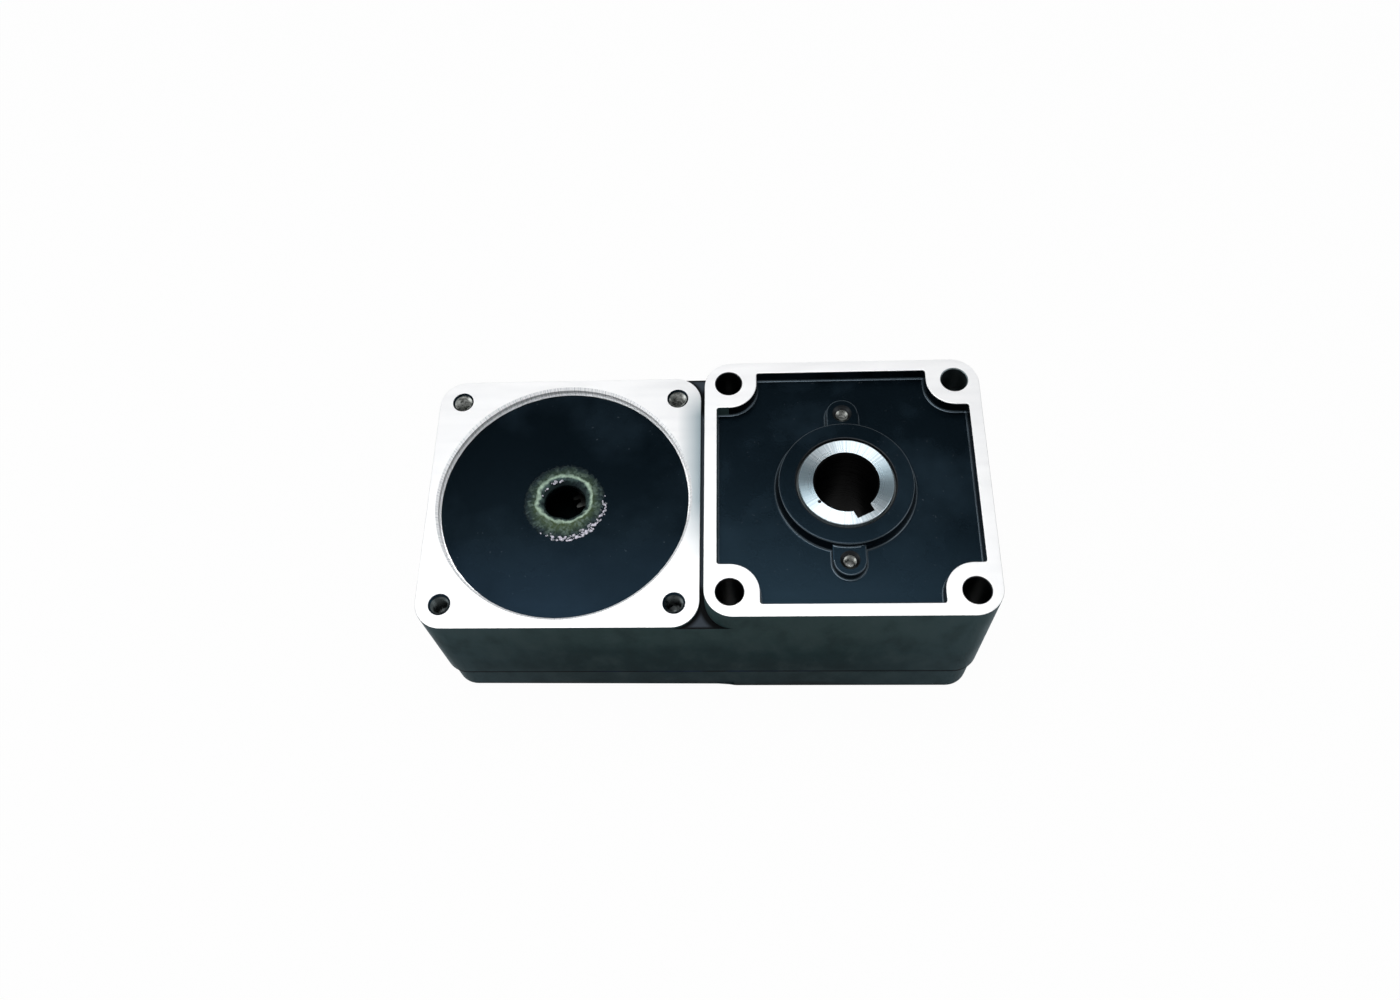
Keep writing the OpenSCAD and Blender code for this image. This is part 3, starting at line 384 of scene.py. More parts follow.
def turned_steel_material():
    s = Shader("turned_steel", (0.74, 0.755, 0.77), metallic=1.0, roughness=0.3)
    s.surface.inputs["Anisotropic"].default_value = 0.98
    outward = s.put("ShaderNodeVectorMath", operation="MULTIPLY")
    outward.inputs[1].default_value = (1, 1, 0)
    s.link(s.place, outward.inputs[0])
    s.link(outward.outputs["Vector"], s.surface.inputs["Tangent"])
    streaks = s.turning((0, 0, 0), 22)
    rings = s.put("ShaderNodeTexNoise", noise_dimensions="1D")
    rings.inputs["Scale"].default_value = 1500
    s.link(s.radius((0, 0)), rings.inputs["W"])
    rings = rings.outputs["Fac"]
    steel = s.ramp(streaks, (
        (0.3, (0.42, 0.5, 0.55)),
        (0.5, (0.52, 0.6, 0.65)),
        (0.7, (0.64, 0.7, 0.74)),
    ))
    # Painted reflection: the end face is darker and bluer on its left and right, where the turned face
    # reflects less light.
    aside = s.math("DIVIDE", s.math("ABSOLUTE", s.along("X")), s.radius((0, 0)))
    steel = s.mix(s.span(aside, 0.72, 0.97, 0, 0.75), steel, (0.27, 0.38, 0.44))
    punched = s.span(s.radius(PUNCH_MARK), 0.0007, 0.00045)
    s.colour(s.mix(punched, steel, (0.01, 0.01, 0.012)))
    s.roughness(s.span(rings, 0.3, 0.7, 0.26, 0.3))
    return s.bump(rings, 0.000004, 0.2).material


def ground_steel_material():
    s = Shader("ground_steel", (0.6, 0.62, 0.64), metallic=1.0, roughness=0.24)
    marks = s.noise(650, 4, s.centred((0, 0, 0), (1, 1, 12)))
    s.colour(s.ramp(marks, ((0.3, (0.5, 0.52, 0.54)), (0.7, (0.68, 0.7, 0.72)))))
    s.roughness(s.span(marks, 0.3, 0.7, 0.18, 0.32))
    return s.bump(marks, 0.00002, 0.4).material


def gear_steel_material():
    s = Shader("gear_steel", (0.1, 0.102, 0.1), metallic=1.0, roughness=0.36)
    # Dark, partly from an oil film and partly painted shade for the gears inside the closed case.
    oil_film_and_shade = s.noise(90, 5)
    s.colour(s.ramp(oil_film_and_shade, ((0.35, (0.024, 0.026, 0.025)), (0.7, (0.06, 0.063, 0.06)))))
    s.roughness(s.span(oil_film_and_shade, 0.3, 0.7, 0.22, 0.45))
    return s.bump(s.noise(1500, 3), 0.00003, 0.4).material


def ball_steel_material():
    s = Shader("ball_steel", (0.82, 0.83, 0.85), metallic=1.0, roughness=0.08)
    return s.roughness(s.span(s.noise(700, 3), 0.3, 0.7, 0.05, 0.14)).material


def brass_material():
    s = Shader("cage_brass", (0.62, 0.45, 0.2), metallic=1.0, roughness=0.32)
    tone = s.noise(180, 4)
    s.colour(s.ramp(tone, ((0.3, (0.5, 0.35, 0.14)), (0.7, (0.7, 0.52, 0.25)))))
    return s.roughness(s.span(tone, 0.3, 0.7, 0.26, 0.42)).material


def oxide_material():
    s = Shader("black_oxide", (0.03, 0.031, 0.034), metallic=1.0, roughness=0.38)
    tone = s.noise(320, 4)
    s.colour(s.ramp(tone, ((0.3, (0.022, 0.023, 0.026)), (0.75, (0.06, 0.062, 0.066)))))
    return s.roughness(s.span(tone, 0.3, 0.7, 0.3, 0.5)).material


def rubber_material():
    s = Shader("seal_rubber", (0.03, 0.034, 0.038), roughness=0.48)
    tone = s.noise(260, 4)
    s.colour(s.ramp(tone, ((0.3, (0.05, 0.062, 0.066)), (0.7, (0.1, 0.12, 0.125)))))
    return s.bump(s.noise(1700, 2), 0.00003, 0.4).material


def gasket_material():
    s = Shader("gasket", (0.012, 0.025, 0.055), roughness=0.6)
    tone = s.noise(210, 4)
    s.colour(s.ramp(tone, ((0.35, (0.008, 0.014, 0.028)), (0.7, (0.018, 0.04, 0.085)))))
    return s.bump(s.noise(1600, 2), 0.00004, 0.5).material


# Centre of the pale line in the grease, a little above the pinion hole
LINE_CENTRE = (MOTOR_X - 0.0002, 0.0013)
LINE_R = 0.0085


def grease_material():
    s = Shader("grease", (0.3, 0.36, 0.22), roughness=0.3)
    s.surface.inputs["Specular IOR Level"].default_value = 0.12
    s.surface.inputs["Specular Tint"].default_value = (0.6, 0.85, 1.0, 1)
    marble = s.noise(620, 4)
    wander = s.math("MULTIPLY", s.math("SUBTRACT", s.noise(300, 4), 0.5), 0.0028)
    halo = s.ramp(s.span(s.math("ADD", s.radius((MOTOR_X, 0)), wander), 0.009, 0.014), (
        (0.0, (0.05, 0.075, 0.036)),
        (0.35, (0.027, 0.044, 0.028)),
        (0.7, (0.011, 0.019, 0.02)),
        (0.95, (0.002, 0.0045, 0.006)),
    ))
    thinning = s.span(s.radius((MOTOR_X, 0)), 0.0135, 0.0105)
    clots = s.math("MULTIPLY", s.span(marble, 0.5, 0.62, 0, 0.7), thinning)
    halo = s.mix(clots, halo, (0.11, 0.155, 0.125))
    reach = s.math("ADD", s.radius(LINE_CENTRE, 1.08), wander)
    inner = s.ramp(s.span(reach, 0.0054, LINE_R), (
        (0.0, (0.003, 0.005, 0.005)),
        (0.4, (0.01, 0.018, 0.017)),
        (0.7, (0.045, 0.072, 0.066)),
        (1.0, (0.12, 0.17, 0.15)),
    ))
    inner = s.mix(s.span(marble, 0.5, 0.62, 0, 0.85), inner, (0.004, 0.007, 0.008))
    tone = s.mix(s.span(reach, LINE_R - 0.0002, LINE_R + 0.0002), inner, halo)
    off_line = s.math("ABSOLUTE", s.math("SUBTRACT", reach, LINE_R))
    broken = s.span(marble, 0.38, 0.62, 1, 0.55)
    line = s.math("MULTIPLY", s.span(off_line, 0.00075, 0.00015), broken)
    s.colour(s.mix(line, tone, (0.38, 0.51, 0.4)))
    s.roughness(s.span(s.noise(700, 3), 0.35, 0.65, 0.16, 0.45))
    return s.bump(s.noise(1300, 4), 0.0002, 0.6).material


def bead_material():
    s = Shader("grease_beads", (0.5, 0.5, 0.56), roughness=0.12)
    tone = s.noise(900, 3)
    # The beads are real grease; their whitish light tone is painted glint, on top of their real gloss.
    s.colour(s.ramp(tone, ((0.35, (0.12, 0.14, 0.15)), (0.6, (0.6, 0.58, 0.68)))))
    return s.roughness(s.span(tone, 0.3, 0.7, 0.08, 0.25)).material


# Painted shade: walls of holes, countersinks and seats are near black, far darker than drilled aluminium is.
def hole_shade_material():
    s = Shader("hole_shade_aluminium", (0.05, 0.052, 0.055), metallic=1.0, roughness=0.42)
    rings = s.noise(60, 4, s.centred((0, 0, 0), (1, 1, 0.02)))
    shade = s.ramp(rings, ((0.3, (0.01, 0.011, 0.012)), (0.7, (0.028, 0.031, 0.034))))
    # Painted light: the walls round the pad hole at the upper right corner are lighter, where light falls in.
    painted_lit_wall = s.math("MULTIPLY", s.span(s.along("X"), 0.028, 0.032), s.span(s.along("Y"), 0.028, 0.032))
    s.colour(s.mix(painted_lit_wall, shade, (0.16, 0.2, 0.21)))
    return s.bump(rings, 0.00008, 0.5).material


def shaded_low_holes(s, bright):
    """Painted shade darkens the two tapped flange holes on the low side."""
    return s.mix(s.span(s.along("Y"), -0.028, -0.03, 0, 0.9), bright, (0.05, 0.064, 0.068))


def tapped_material():
    s = Shader("tapped_aluminium", (0.6, 0.61, 0.62), metallic=1.0, roughness=0.35)
    tone = s.noise(500, 4)
    s.colour(shaded_low_holes(s, s.ramp(tone, ((0.3, (0.45, 0.46, 0.45)), (0.7, (0.85, 0.87, 0.86))))))
    return s.roughness(s.span(tone, 0.3, 0.7, 0.25, 0.45)).material


def thread_material():
    s = Shader("thread_aluminium", (0.3, 0.31, 0.31), metallic=1.0, roughness=0.3)
    tone = s.noise(700, 3)
    s.colour(shaded_low_holes(s, s.ramp(tone, ((0.3, (0.14, 0.15, 0.14)), (0.7, (0.55, 0.57, 0.55))))))
    return s.roughness(s.span(tone, 0.3, 0.7, 0.2, 0.42)).material


# Painted shade: the shaft's bore and edge break are near black, far darker than reamed steel is.
def bore_shade_material():
    s = Shader("bore_painted_shade", (0.002, 0.002, 0.002), roughness=0.3)
    s.surface.inputs["Specular IOR Level"].default_value = 0.01
    rings = s.noise(60, 4, s.centred((0, 0, 0), (1, 1, 0.02)))
    s.colour(s.ramp(rings, ((0.3, (0.0012, 0.0012, 0.0014)), (0.7, (0.003, 0.003, 0.0032)))))
    return s.roughness(s.span(rings, 0.3, 0.7, 0.22, 0.4)).material


def pilot_floor_material():
    s = Shader("painted_pilot_floor", PAINT_DARK, roughness=0.4)
    s.surface.inputs["Specular IOR Level"].default_value = 0.075
    s.surface.inputs["Specular Tint"].default_value = (*PAINT_SHEEN, 1)
    reach = s.radius((MOTOR_X, 0))
    bare = s.span(s.math("ADD", reach, s.math("MULTIPLY", s.noise(300, 3), 0.0003)), 0.0411, 0.04125)
    cloud = s.noise(30, 6)
    specks = s.noise(700, 2)
    base = s.mix(s.span(cloud, 0.46, 0.68), PAINT_DARK, PAINT_LIGHT)
    dust = s.math("MULTIPLY", s.span(specks, 0.7, 0.76), s.span(cloud, 0.45, 0.65))
    base = s.mix(s.math("MULTIPLY", dust, 0.4), base, (0.14, 0.17, 0.2))
    # Painted sheen: the pilot floor is lighter and bluer towards -Y, in place of a reflection of the lamps.
    painted_sheen = s.math("MULTIPLY", s.span(s.along("Y"), -0.012, -0.036), s.span(s.noise(34, 4), 0.3, 0.7, 0.4, 1))
    base = s.mix(painted_sheen, base, (0.011, 0.022, 0.037))
    s.colour(s.mix(bare, base, (0.86, 0.87, 0.885)))
    s.link(bare, s.surface.inputs["Metallic"])
    s.roughness(s.span(cloud, 0.3, 0.75, 0.2, 0.32))
    return s.bump(s.noise(1700, 3), 0.00006, 0.35).material


# Mesh helpers
def link_object(name, mesh):
    made = bpy.data.objects.new(name, mesh)
    bpy.context.scene.collection.objects.link(made)
    return made


def finish_mesh(bm, name, materials, sharp_angle=math.radians(38)):
    """Turns a bmesh into a linked object, smooth but for the edges sharper than the angle."""
    for face in bm.faces:
        face.smooth = True
    for edge in bm.edges:
        edge.smooth = edge.calc_face_angle(0) < sharp_angle
    mesh = bpy.data.meshes.new(name)
    bm.to_mesh(mesh)
    bm.free()
    made = link_object(name, mesh)
    for material in materials:
        mesh.materials.append(material)
    even = made.modifiers.new("even_shading", "WEIGHTED_NORMAL")
    even.keep_sharp = True
    return made


def merged_copy(node):
    """A closed bmesh of a CAD node, its triangles merged and its flat faces joined."""
    bm = bmesh.new()
    bm.from_mesh(frame["nodes"][node].data)
    bmesh.ops.remove_doubles(bm, verts=bm.verts, dist=0.000002)
    bmesh.ops.dissolve_limit(
        bm, angle_limit=math.radians(0.3), use_dissolve_boundaries=False, verts=bm.verts, edges=bm.edges
    )
    return bm


def bevel_edges(bm, edges, width, segments):
    bmesh.ops.bevel(
        bm, geom=edges, offset=width, offset_type="OFFSET", segments=segments, profile=0.5,
        affect="EDGES", clamp_overlap=False, material=-1
    )


def sharp_edges(bm, least_angle, wanted):
    """Edges turned by at least the angle, whose midpoint is wanted."""
    return [
        edge for edge in bm.edges
        if edge.calc_face_angle(0) >= least_angle and wanted((edge.verts[0].co + edge.verts[1].co) / 2)
    ]


def span_from(point, x, y):
    return math.hypot(point.x - x, point.y - y)


def near(value, target, slack=0.00015):
    return abs(value - target) < slack


MOTOR_HOLES = [(MOTOR_X + sx * HOLE_HALF, sy * HOLE_HALF) for sx in (-1, 1) for sy in (-1, 1)]
PAD_HOLES = [(sx * HOLE_HALF, sy * HOLE_HALF) for sx in (-1, 1) for sy in (-1, 1)]
EAR_HOLES = [(0, sy * EAR_HALF) for sy in (-1, 1)]


def in_hole(point, holes, radius):
    return any(span_from(point, x, y) < radius for x, y in holes)


def widest(face, x=0, y=0):
    """Largest distance of a face's corners from an upright axis, by default the output axis."""
    return max(span_from(vert.co, x, y) for vert in face.verts)


def lines_hole(face, holes, radius):
    return any(widest(face, x, y) < radius for x, y in holes)


# Case: painted casting with machined faces, bores and holes
CASE_PAINT, CASE_FACE, CASE_FLOOR, CASE_BORE, CASE_TAP, CASE_SKIN, CASE_WALL, CASE_EDGE, CASE_SLOT = range(9)

# A face whose normal's height is over LEVEL lies level; under UPRIGHT it stands
LEVEL = 0.9
UPRIGHT = 0.6
FACE_SLACK = 0.00012
RIM_SLACK = 0.00045
SHARP = 1.2


def case_surface(face):
    centre = face.calc_center_median()
    up = face.normal.z
    if lines_hole(face, MOTOR_HOLES, FLANGE_HOLE_REACH) and centre.z > MOTOR_FACE_Z - 0.0145:
        return CASE_PAINT if centre.z > MOTOR_FACE_Z - FLANGE_SINK else CASE_TAP
    if lines_hole(face, EAR_HOLES, EAR_HOLE_REACH) and centre.z > RECESS_Z - 0.003:
        return CASE_BORE if centre.z > EAR_TOP_Z - EAR_SINK else CASE_TAP
    if lines_hole(face, PAD_HOLES, PAD_HOLE_REACH) and up < LEVEL:
        return CASE_BORE
    if up > LEVEL and centre.z > OUTPUT_FACE_Z - FACE_SLACK and widest(face) > RECESS_R:
        return CASE_FACE
    if up > LEVEL and near(centre.z, MOTOR_FACE_Z, FACE_SLACK):
        return CASE_FACE
    reach = span_from(centre, MOTOR_X, 0)
    if PILOT_R - 0.0012 < reach < PILOT_R + 0.001 and PILOT_Z < centre.z < MOTOR_FACE_Z:
        return CASE_WALL
    if abs(up) < UPRIGHT and outline_gap(centre) < 0.0006:
        return CASE_SKIN
    beside_slot = FLANGE_ARC_X - 0.0001 < centre.x < PAD_ARC_X + 0.0001
    if beside_slot and centre.z > SLOT_Z - 0.0002 and abs(up) < UPRIGHT:
        if span_from(centre, PAD_ARC_X, math.copysign(ARC_Y, centre.y)) > CORNER_R - 0.0005:
            return CASE_SKIN
    in_slot = FLANGE_EDGE_X - 0.0005 < centre.x < PAD_EDGE_X + 0.001
    if in_slot and near(centre.z, SLOT_Z) and up > LEVEL:
        return CASE_SLOT
    if 0.2 < up < 0.97 and RECESS_Z - 0.0001 < centre.z < BOSS_TOP_Z and widest(face) < 0.06:
        on_boss_seat = widest(face) < BOSS_R - 0.001
        if not on_boss_seat and not lines_hole(face, EAR_HOLES, EAR_HOLE_REACH):
            return CASE_EDGE
    if near(centre.z, PILOT_Z, FACE_SLACK) and up > LEVEL and reach < PILOT_R + 0.001:
        return CASE_FLOOR
    if widest(face) < BOSS_MOUTH_R + 0.0005 and centre.z > BOSS_TOP_Z - 0.0005:
        return CASE_BORE
    if widest(face) < RECESS_R and centre.z > RECESS_Z - 0.001:
        return CASE_PAINT
    if up > 0.1 and near(centre.z, OUTPUT_FACE_Z, RIM_SLACK):
        return CASE_FACE
    if centre.x < FLANGE_EDGE_X + 0.0005 and up > 0.15 and near(centre.z, MOTOR_FACE_Z, RIM_SLACK):
        return CASE_FACE
    if widest(face) < BEARING_SEAT_R and (abs(up) < LEVEL or centre.z < RECESS_Z - 0.001):
        return CASE_BORE if widest(face) < BOSS_R - 0.001 else CASE_PAINT
    return CASE_PAINT


def on_pilot_edge(p):
    return near(p.z, MOTOR_FACE_Z) and near(span_from(p, MOTOR_X, 0), PILOT_R, 0.0003)


def on_pad_rim(p):
    return near(p.z, OUTPUT_FACE_Z) or (near(p.z, MOTOR_FACE_Z) and p.x < PAD_EDGE_X - 0.0005)


def on_recess_floor(p):
    return near(p.z, RECESS_Z) and not in_hole(p, EAR_HOLES, AROUND_EAR_HOLE)


def on_ear_top(p):
    return near(p.z, EAR_TOP_Z) and not in_hole(p, EAR_HOLES, AROUND_EAR_HOLE)


def on_boss_mouth(p):
    return near(p.z, BOSS_TOP_Z) and span_from(p, 0, 0) < BOSS_MOUTH_R + 0.0001


def on_case_bottom(p):
    return near(p.z, CASE_BOTTOM_Z) and outline_gap(p) < 0.0003


def case_piece(materials):
    bm = merged_copy("gear_case")
    breaks = (
        (0.0008, 1, on_pilot_edge), (0.0003, 2, on_pad_rim), (0.0006, 3, on_recess_floor),
        (0.0004, 3, on_ear_top), (0.0004, 3, on_boss_mouth), (0.0004, 2, on_case_bottom),
    )
    for width, segments, wanted in breaks:
        bevel_edges(bm, sharp_edges(bm, SHARP, wanted), width, segments)
    piece = finish_mesh(bm, "case_body", materials)
    paint_faces(piece, case_surface)
    return piece


def outline_gap(p):
    """Distance of a point from the case's upright outline, round corners included."""
    x0, x1, half = CAD_BOX[0][0], CAD_BOX[1][0], CAD_BOX[1][1]
    return min(abs(p.x - x0), abs(p.x - x1), abs(abs(p.y) - half), corner_gap(p, x0, x1, half))


def corner_gap(p, x0, x1, half):
    """Distance from the nearest round corner, or 1 beside the straight sides."""
    cx = x0 + CORNER_R if p.x < (x0 + x1) / 2 else x1 - CORNER_R
    cy = math.copysign(half - CORNER_R, p.y)
    if x0 + CORNER_R < p.x < x1 - CORNER_R or abs(p.y) < half - CORNER_R:
        return 1.0
    return abs(math.hypot(p.x - cx, p.y - cy) - CORNER_R)


# Rear cover: painted, with a machined mounting face and bored seats
COVER_PAINT, COVER_FACE, COVER_BORE = range(3)


def cover_surface(face):
    centre = face.calc_center_median()
    if lines_hole(face, PAD_HOLES, PAD_HOLE_REACH) and abs(face.normal.z) < LEVEL:
        return COVER_BORE
    if centre.z < RIM_SLACK and face.normal.z < 0.3 and centre.x > PAD_EDGE_X + 0.0005:
        return COVER_FACE
    if widest(face) < BEARING_SEAT_R and centre.z > 0.0007:
        return COVER_BORE
    return COVER_PAINT


def on_cover_face(p):
    return (near(p.z, 0) or near(p.z, REAR_STEP_Z)) and not in_hole(p, PAD_HOLES, AROUND_PAD_HOLE)


def cover_piece(materials):
    bm = merged_copy("rear_cover")
    rims = [edge for edge in sharp_edges(bm, SHARP, on_cover_face) if cover_rim(edge)]
    bevel_edges(bm, rims, 0.0006, 3)
    piece = finish_mesh(bm, "cover_body", materials)
    paint_faces(piece, cover_surface)
    return piece


def cover_rim(edge):
    p = (edge.verts[0].co + edge.verts[1].co) / 2
    x0, x1 = CAD_BOX[0][0] + COVER_INSET, CAD_BOX[1][0] - COVER_INSET
    half = CAD_BOX[1][1] - COVER_INSET
    on_side = min(abs(p.x - x0), abs(p.x - x1), abs(abs(p.y) - half)) < 0.0003
    return on_side or round_corner(p, x0, x1, half, CORNER_R - COVER_INSET)


def round_corner(p, x0, x1, half, r):
    for x in (x0 + r, x1 - r):
        if abs(math.hypot(p.x - x, abs(p.y) - (half - r)) - r) < 0.0003:
            return True
    return False


def paint_faces(piece, kind_of):
    bm = bmesh.new()
    bm.from_mesh(piece.data)
    bm.normal_update()
    for face, polygon in zip(bm.faces, piece.data.polygons):
        polygon.material_index = kind_of(face)
    bm.free()


# Hollow shaft: turned outside, with painted shade in the bore and on its edge break
def shaft_piece(materials):
    bm = merged_copy("output_shaft")
    piece = finish_mesh(bm, "hollow_shaft", materials)
    paint_faces(piece, shaft_surface)
    return piece


def shaft_surface(face):
    centre = face.calc_center_median()
    reach = math.hypot(centre.x, centre.y)
    if reach < BORE_R + 0.0005 and abs(face.normal.z) < LEVEL:
        return 1
    return 1 if reach < BORE_R + 0.003 and abs(face.normal.z) < 0.5 else 0


# Threads in the tapped holes, as a ridge that climbs the wall. Its height and foot are shares of
# the pitch, and the bite is how deep the foot stands in the wall
THREAD_HEIGHT = 0.54
THREAD_FOOT = 0.84
THREAD_BITE = 0.00002


def thread_piece(name, holes, radius, pitch, top_z, length, material):
    bm = bmesh.new()
    steps = 28
    turns = round((length - pitch) / pitch)
    for x, y in holes:
        start_z = top_z - pitch * 0.5 - turns * pitch
        corners = [
            bm.verts.new((x + radius + THREAD_BITE, y, start_z)),
            bm.verts.new((x + radius - pitch * THREAD_HEIGHT, y, start_z + pitch * THREAD_FOOT / 2)),
            bm.verts.new((x + radius + THREAD_BITE, y, start_z + pitch * THREAD_FOOT)),
        ]
        outline = [bm.edges.new((corners[i], corners[(i + 1) % 3])) for i in range(3)]
        bmesh.ops.spin(
            bm, geom=corners + outline, cent=(x, y, 0), axis=(0, 0, 1), dvec=(0, 0, pitch / steps),
            angle=math.tau * turns, steps=steps * turns, use_merge=False
        )
    bmesh.ops.holes_fill(bm, edges=[edge for edge in bm.edges if edge.is_boundary], sides=3)
    bmesh.ops.recalc_face_normals(bm, faces=bm.faces)
    return finish_mesh(bm, name, [material], math.radians(50))


# Grease round the pinion hole: a bead on the countersink and a thin smear with beads beyond it
def grease_piece(material):
    bm = bmesh.new()
    profile = [
        (PINION_HOLE_R - 0.0003, PILOT_Z - 0.0026),
        (PINION_HOLE_R - 0.0004, PILOT_Z - 0.0015),
        (PINION_HOLE_R + 0.0006, PILOT_Z - 0.0006),
        (PINION_HOLE_R + 0.0018, PILOT_Z - 0.0001),
        (PINION_HOLE_R + 0.0029, PILOT_Z + 0.0002),
        (PINION_HOLE_R + 0.0042, PILOT_Z + 0.0002),
        (PINION_HOLE_R + 0.0055, PILOT_Z + 0.00015),
        (PINION_HOLE_R + 0.0063, PILOT_Z + 0.00005),
        (PINION_HOLE_R + 0.0068, PILOT_Z - 0.0001),
        (PINION_HOLE_R + 0.0028, PILOT_Z - 0.0004),
        (PINION_HOLE_R + 0.0002, PILOT_Z - 0.0026),
    ]
    points = [bm.verts.new((MOTOR_X + r, 0, z)) for r, z in profile]
    lines = [bm.edges.new((points[i], points[(i + 1) % len(points)])) for i in range(len(points))]
    bmesh.ops.spin(
        bm, geom=points + lines, cent=(MOTOR_X, 0, 0), axis=(0, 0, 1), dvec=(0, 0, 0),
        angle=math.tau, steps=180, use_merge=True
    )
    bmesh.ops.remove_doubles(bm, verts=bm.verts, dist=0.000001)
    bmesh.ops.recalc_face_normals(bm, faces=bm.faces)
    bmesh.ops.subdivide_edges(bm, edges=bm.edges, cuts=2, use_grid_fill=True)
    for vert in bm.verts:
        reach = span_from(vert.co, MOTOR_X, 0)
        lumps = noise.fractal(vert.co * 900, 0.7, 2.0, 4)
        coarse = noise.noise(vert.co * 210)
        lift = 0.00022 * lumps + 0.00018 * coarse
        if reach > PINION_HOLE_R + 0.0001 and vert.co.z > PILOT_Z - 0.0022:
            vert.co.z += lift
        nearer = max(0.0, -vert.co.y / reach) ** 1.5 * min(1.0, max(0.0, (0.0138 - reach) / 0.003))
        inward = 0.0017 * nearer * (0.8 + 0.5 * coarse) / reach
        vert.co.x -= (vert.co.x - MOTOR_X) * inward
        vert.co.y -= vert.co.y * inward
        if reach > 0.0133:
            vert.co.z -= 0.0001
    return finish_mesh(bm, "grease_ring", [material], math.radians(80))


# Beads of grease: most lie where the pinion threw them, on the lower right of the smear
SMEAR_BEADS = 110
INNER_BEADS = 14


def grease_beads(material):
    bm = bmesh.new()
    chance = random.Random(7)
    for number in range(SMEAR_BEADS + INNER_BEADS):
        angle = math.radians(chance.triangular(-128, 12, -62))
        reach = chance.triangular(0.0118, 0.0143, 0.0138)
        size = chance.uniform(0.00015, 0.0004)
        if number >= SMEAR_BEADS:
            angle = math.radians(chance.triangular(95, 185, 115))
            reach = chance.uniform(0.0076, 0.0088)
        place = Matrix.Translation((MOTOR_X + reach * math.cos(angle), reach * math.sin(angle), PILOT_Z))
        turn = Matrix.Rotation(angle + chance.uniform(-0.5, 0.5), 4, "Z")
        shape = Matrix.Diagonal((chance.uniform(0.8, 1.5), chance.uniform(1, 2.2), 0.75, 1))
        bmesh.ops.create_icosphere(bm, subdivisions=2, radius=size, matrix=place @ turn @ shape)
    return finish_mesh(bm, "grease_beads", [material], math.radians(80))


# Floor, backdrop and light
FLOOR_Z = CAD_BOX[0][2] - 0.0002
BACKDROP = [(0, 0), (3.2, 0), (3.5, 0.06), (3.75, 0.25), (3.94, 0.5), (4, 0.8), (4, 2.6)]
MIDDLE = (-0.045, 0, 0.05)
SEEN_WHITE = 0.975


def stage():
    """A round floor that curves up into a wall, white to camera, glossy and transmission rays."""
    bm = bmesh.new()
    points = [bm.verts.new((reach, 0, FLOOR_Z + height)) for reach, height in BACKDROP]
    lines = [bm.edges.new(pair) for pair in zip(points, points[1:])]
    bmesh.ops.spin(
        bm, geom=points + lines, cent=(0, 0, 0), axis=(0, 0, 1), dvec=(0, 0, 0),
        angle=math.tau, steps=64, use_merge=True
    )
    bmesh.ops.remove_doubles(bm, verts=bm.verts, dist=0.0001)
    bmesh.ops.recalc_face_normals(bm, faces=bm.faces)
    material = bpy.data.materials.new("studio_floor")
    material.use_nodes = True
    tree = material.node_tree
    shader = tree.nodes["Principled BSDF"]
    shader.inputs["Base Color"].default_value = (0.62, 0.62, 0.62, 1)
    shader.inputs["Roughness"].default_value = 0.6
    shader.inputs["Specular IOR Level"].default_value = 0.2
    glow = tree.nodes.new("ShaderNodeEmission")
    glow.inputs["Color"].default_value = (1, 1, 1, 1)
    glow.inputs["Strength"].default_value = 1
    path = tree.nodes.new("ShaderNodeLightPath")
    part = tree.nodes.new("ShaderNodeMath")
    part.operation = "MULTIPLY"
    part.inputs[1].default_value = SEEN_WHITE
    seen = tree.nodes.new("ShaderNodeMath")
    seen.operation = "ADD"
    seen.use_clamp = True
    through = tree.nodes.new("ShaderNodeMath")
    through.operation = "ADD"
    tree.links.new(path.outputs["Is Glossy Ray"], through.inputs[0])
    tree.links.new(path.outputs["Is Transmission Ray"], through.inputs[1])
    tree.links.new(path.outputs["Is Camera Ray"], seen.inputs[0])
    tree.links.new(through.outputs["Value"], seen.inputs[1])
    mix = tree.nodes.new("ShaderNodeMixShader")
    tree.links.new(seen.outputs["Value"], part.inputs[0])
    tree.links.new(part.outputs["Value"], mix.inputs["Fac"])
    tree.links.new(shader.outputs["BSDF"], mix.inputs[1])
    tree.links.new(glow.outputs["Emission"], mix.inputs[2])
    tree.links.new(mix.outputs["Shader"], tree.nodes["Material Output"].inputs["Surface"])
    floor = finish_mesh(bm, "studio_floor", [material])


def add_lamp(name, place, width, depth, power):
    """A rectangular lamp in metres and watts, turned to the middle of the gearhead."""
    data = bpy.data.lights.new(name, "AREA")
    data.shape = "RECTANGLE"
    data.size = width
    data.size_y = depth
    data.energy = power
    lamp = bpy.data.objects.new(name, data)
    lamp.location = place
    lamp.rotation_euler = (Vector(MIDDLE) - Vector(place)).to_track_quat("-Z", "Y").to_euler()
    bpy.context.scene.collection.objects.link(lamp)


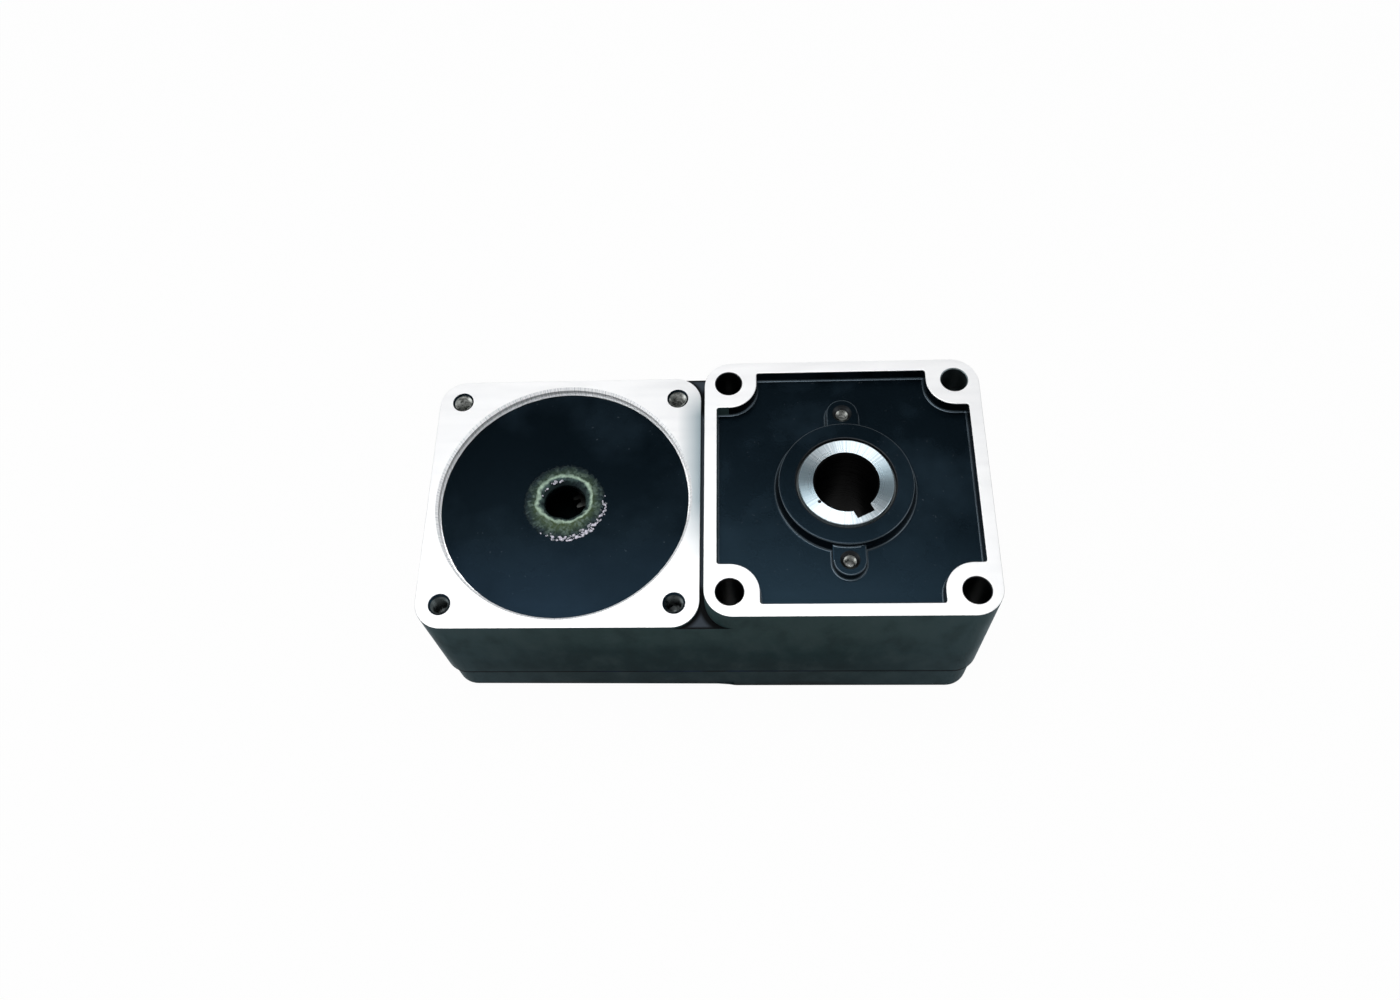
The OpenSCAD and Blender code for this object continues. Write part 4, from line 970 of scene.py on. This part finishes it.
def light_studio():
    world = bpy.data.worlds.new("studio")
    bpy.context.scene.world = world
    world.use_nodes = True
    world.node_tree.nodes["Background"].inputs["Color"].default_value = (1, 1, 1, 1)
    world.node_tree.nodes["Background"].inputs["Strength"].default_value = 0.3
    add_lamp("top_softbox", (-0.14, 0.02, 0.95), 0.72, 0.6, 6)
    add_lamp("left_softbox", (-0.8, -0.15, 0.5), 0.5, 0.5, 1.2)
    add_lamp("right_softbox", (0.7, -0.2, 0.5), 0.5, 0.5, 1.0)


bpy.context.scene.view_settings.view_transform = "Standard"
stage()
light_studio()

paint = paint_material()
face_metal = machined_material()
hole_shade = hole_shade_material()
tapped = tapped_material()
pilot_floor = pilot_floor_material()
skin = skin_material()
pilot_wall = pilot_wall_material()
edges = edge_material()
slot_floor = pocket_material()
turned = turned_steel_material()
bore_shade = bore_shade_material()
threads = thread_material()
node_materials = {
    "gasket": gasket_material(),
    "black_oxide": oxide_material(),
    "seal_rubber": rubber_material(),
    "bearing_steel": ground_steel_material(),
    "ball_steel": ball_steel_material(),
    "cage_brass": brass_material(),
    "gear_steel": gear_steel_material(),
    "turned_steel": turned,
    "black_paint": paint,
}

case = case_piece([paint, face_metal, pilot_floor, hole_shade, tapped, skin, pilot_wall, edges, slot_floor])
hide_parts("gear_case")
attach(case, "housing")
cover = cover_piece([skin, face_metal, hole_shade])
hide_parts("rear_cover")
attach(cover, "housing")
shaft = shaft_piece([turned, bore_shade])
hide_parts("output_shaft")
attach(shaft, "output_shaft_body")

flange_threads = thread_piece(
    "flange_threads", MOTOR_HOLES, FLANGE_THREAD_R, 0.001, MOTOR_FACE_Z - FLANGE_SINK, 0.0094, threads
)
ear_threads = thread_piece(
    "ear_threads", EAR_HOLES, EAR_THREAD_R, 0.0007, EAR_TOP_Z - EAR_SINK, 0.0044, threads
)
grease = grease_piece(grease_material())
beads = grease_beads(bead_material())
for piece in (flange_threads, ear_threads, grease, beads):
    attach(piece, "housing")

for name, node in frame["nodes"].items():
    slot = next(part["material_slot"] for part in RECORD["subparts"] if part["node"] == name)
    for index in range(len(node.material_slots)):
        node.material_slots[index].material = node_materials[slot]
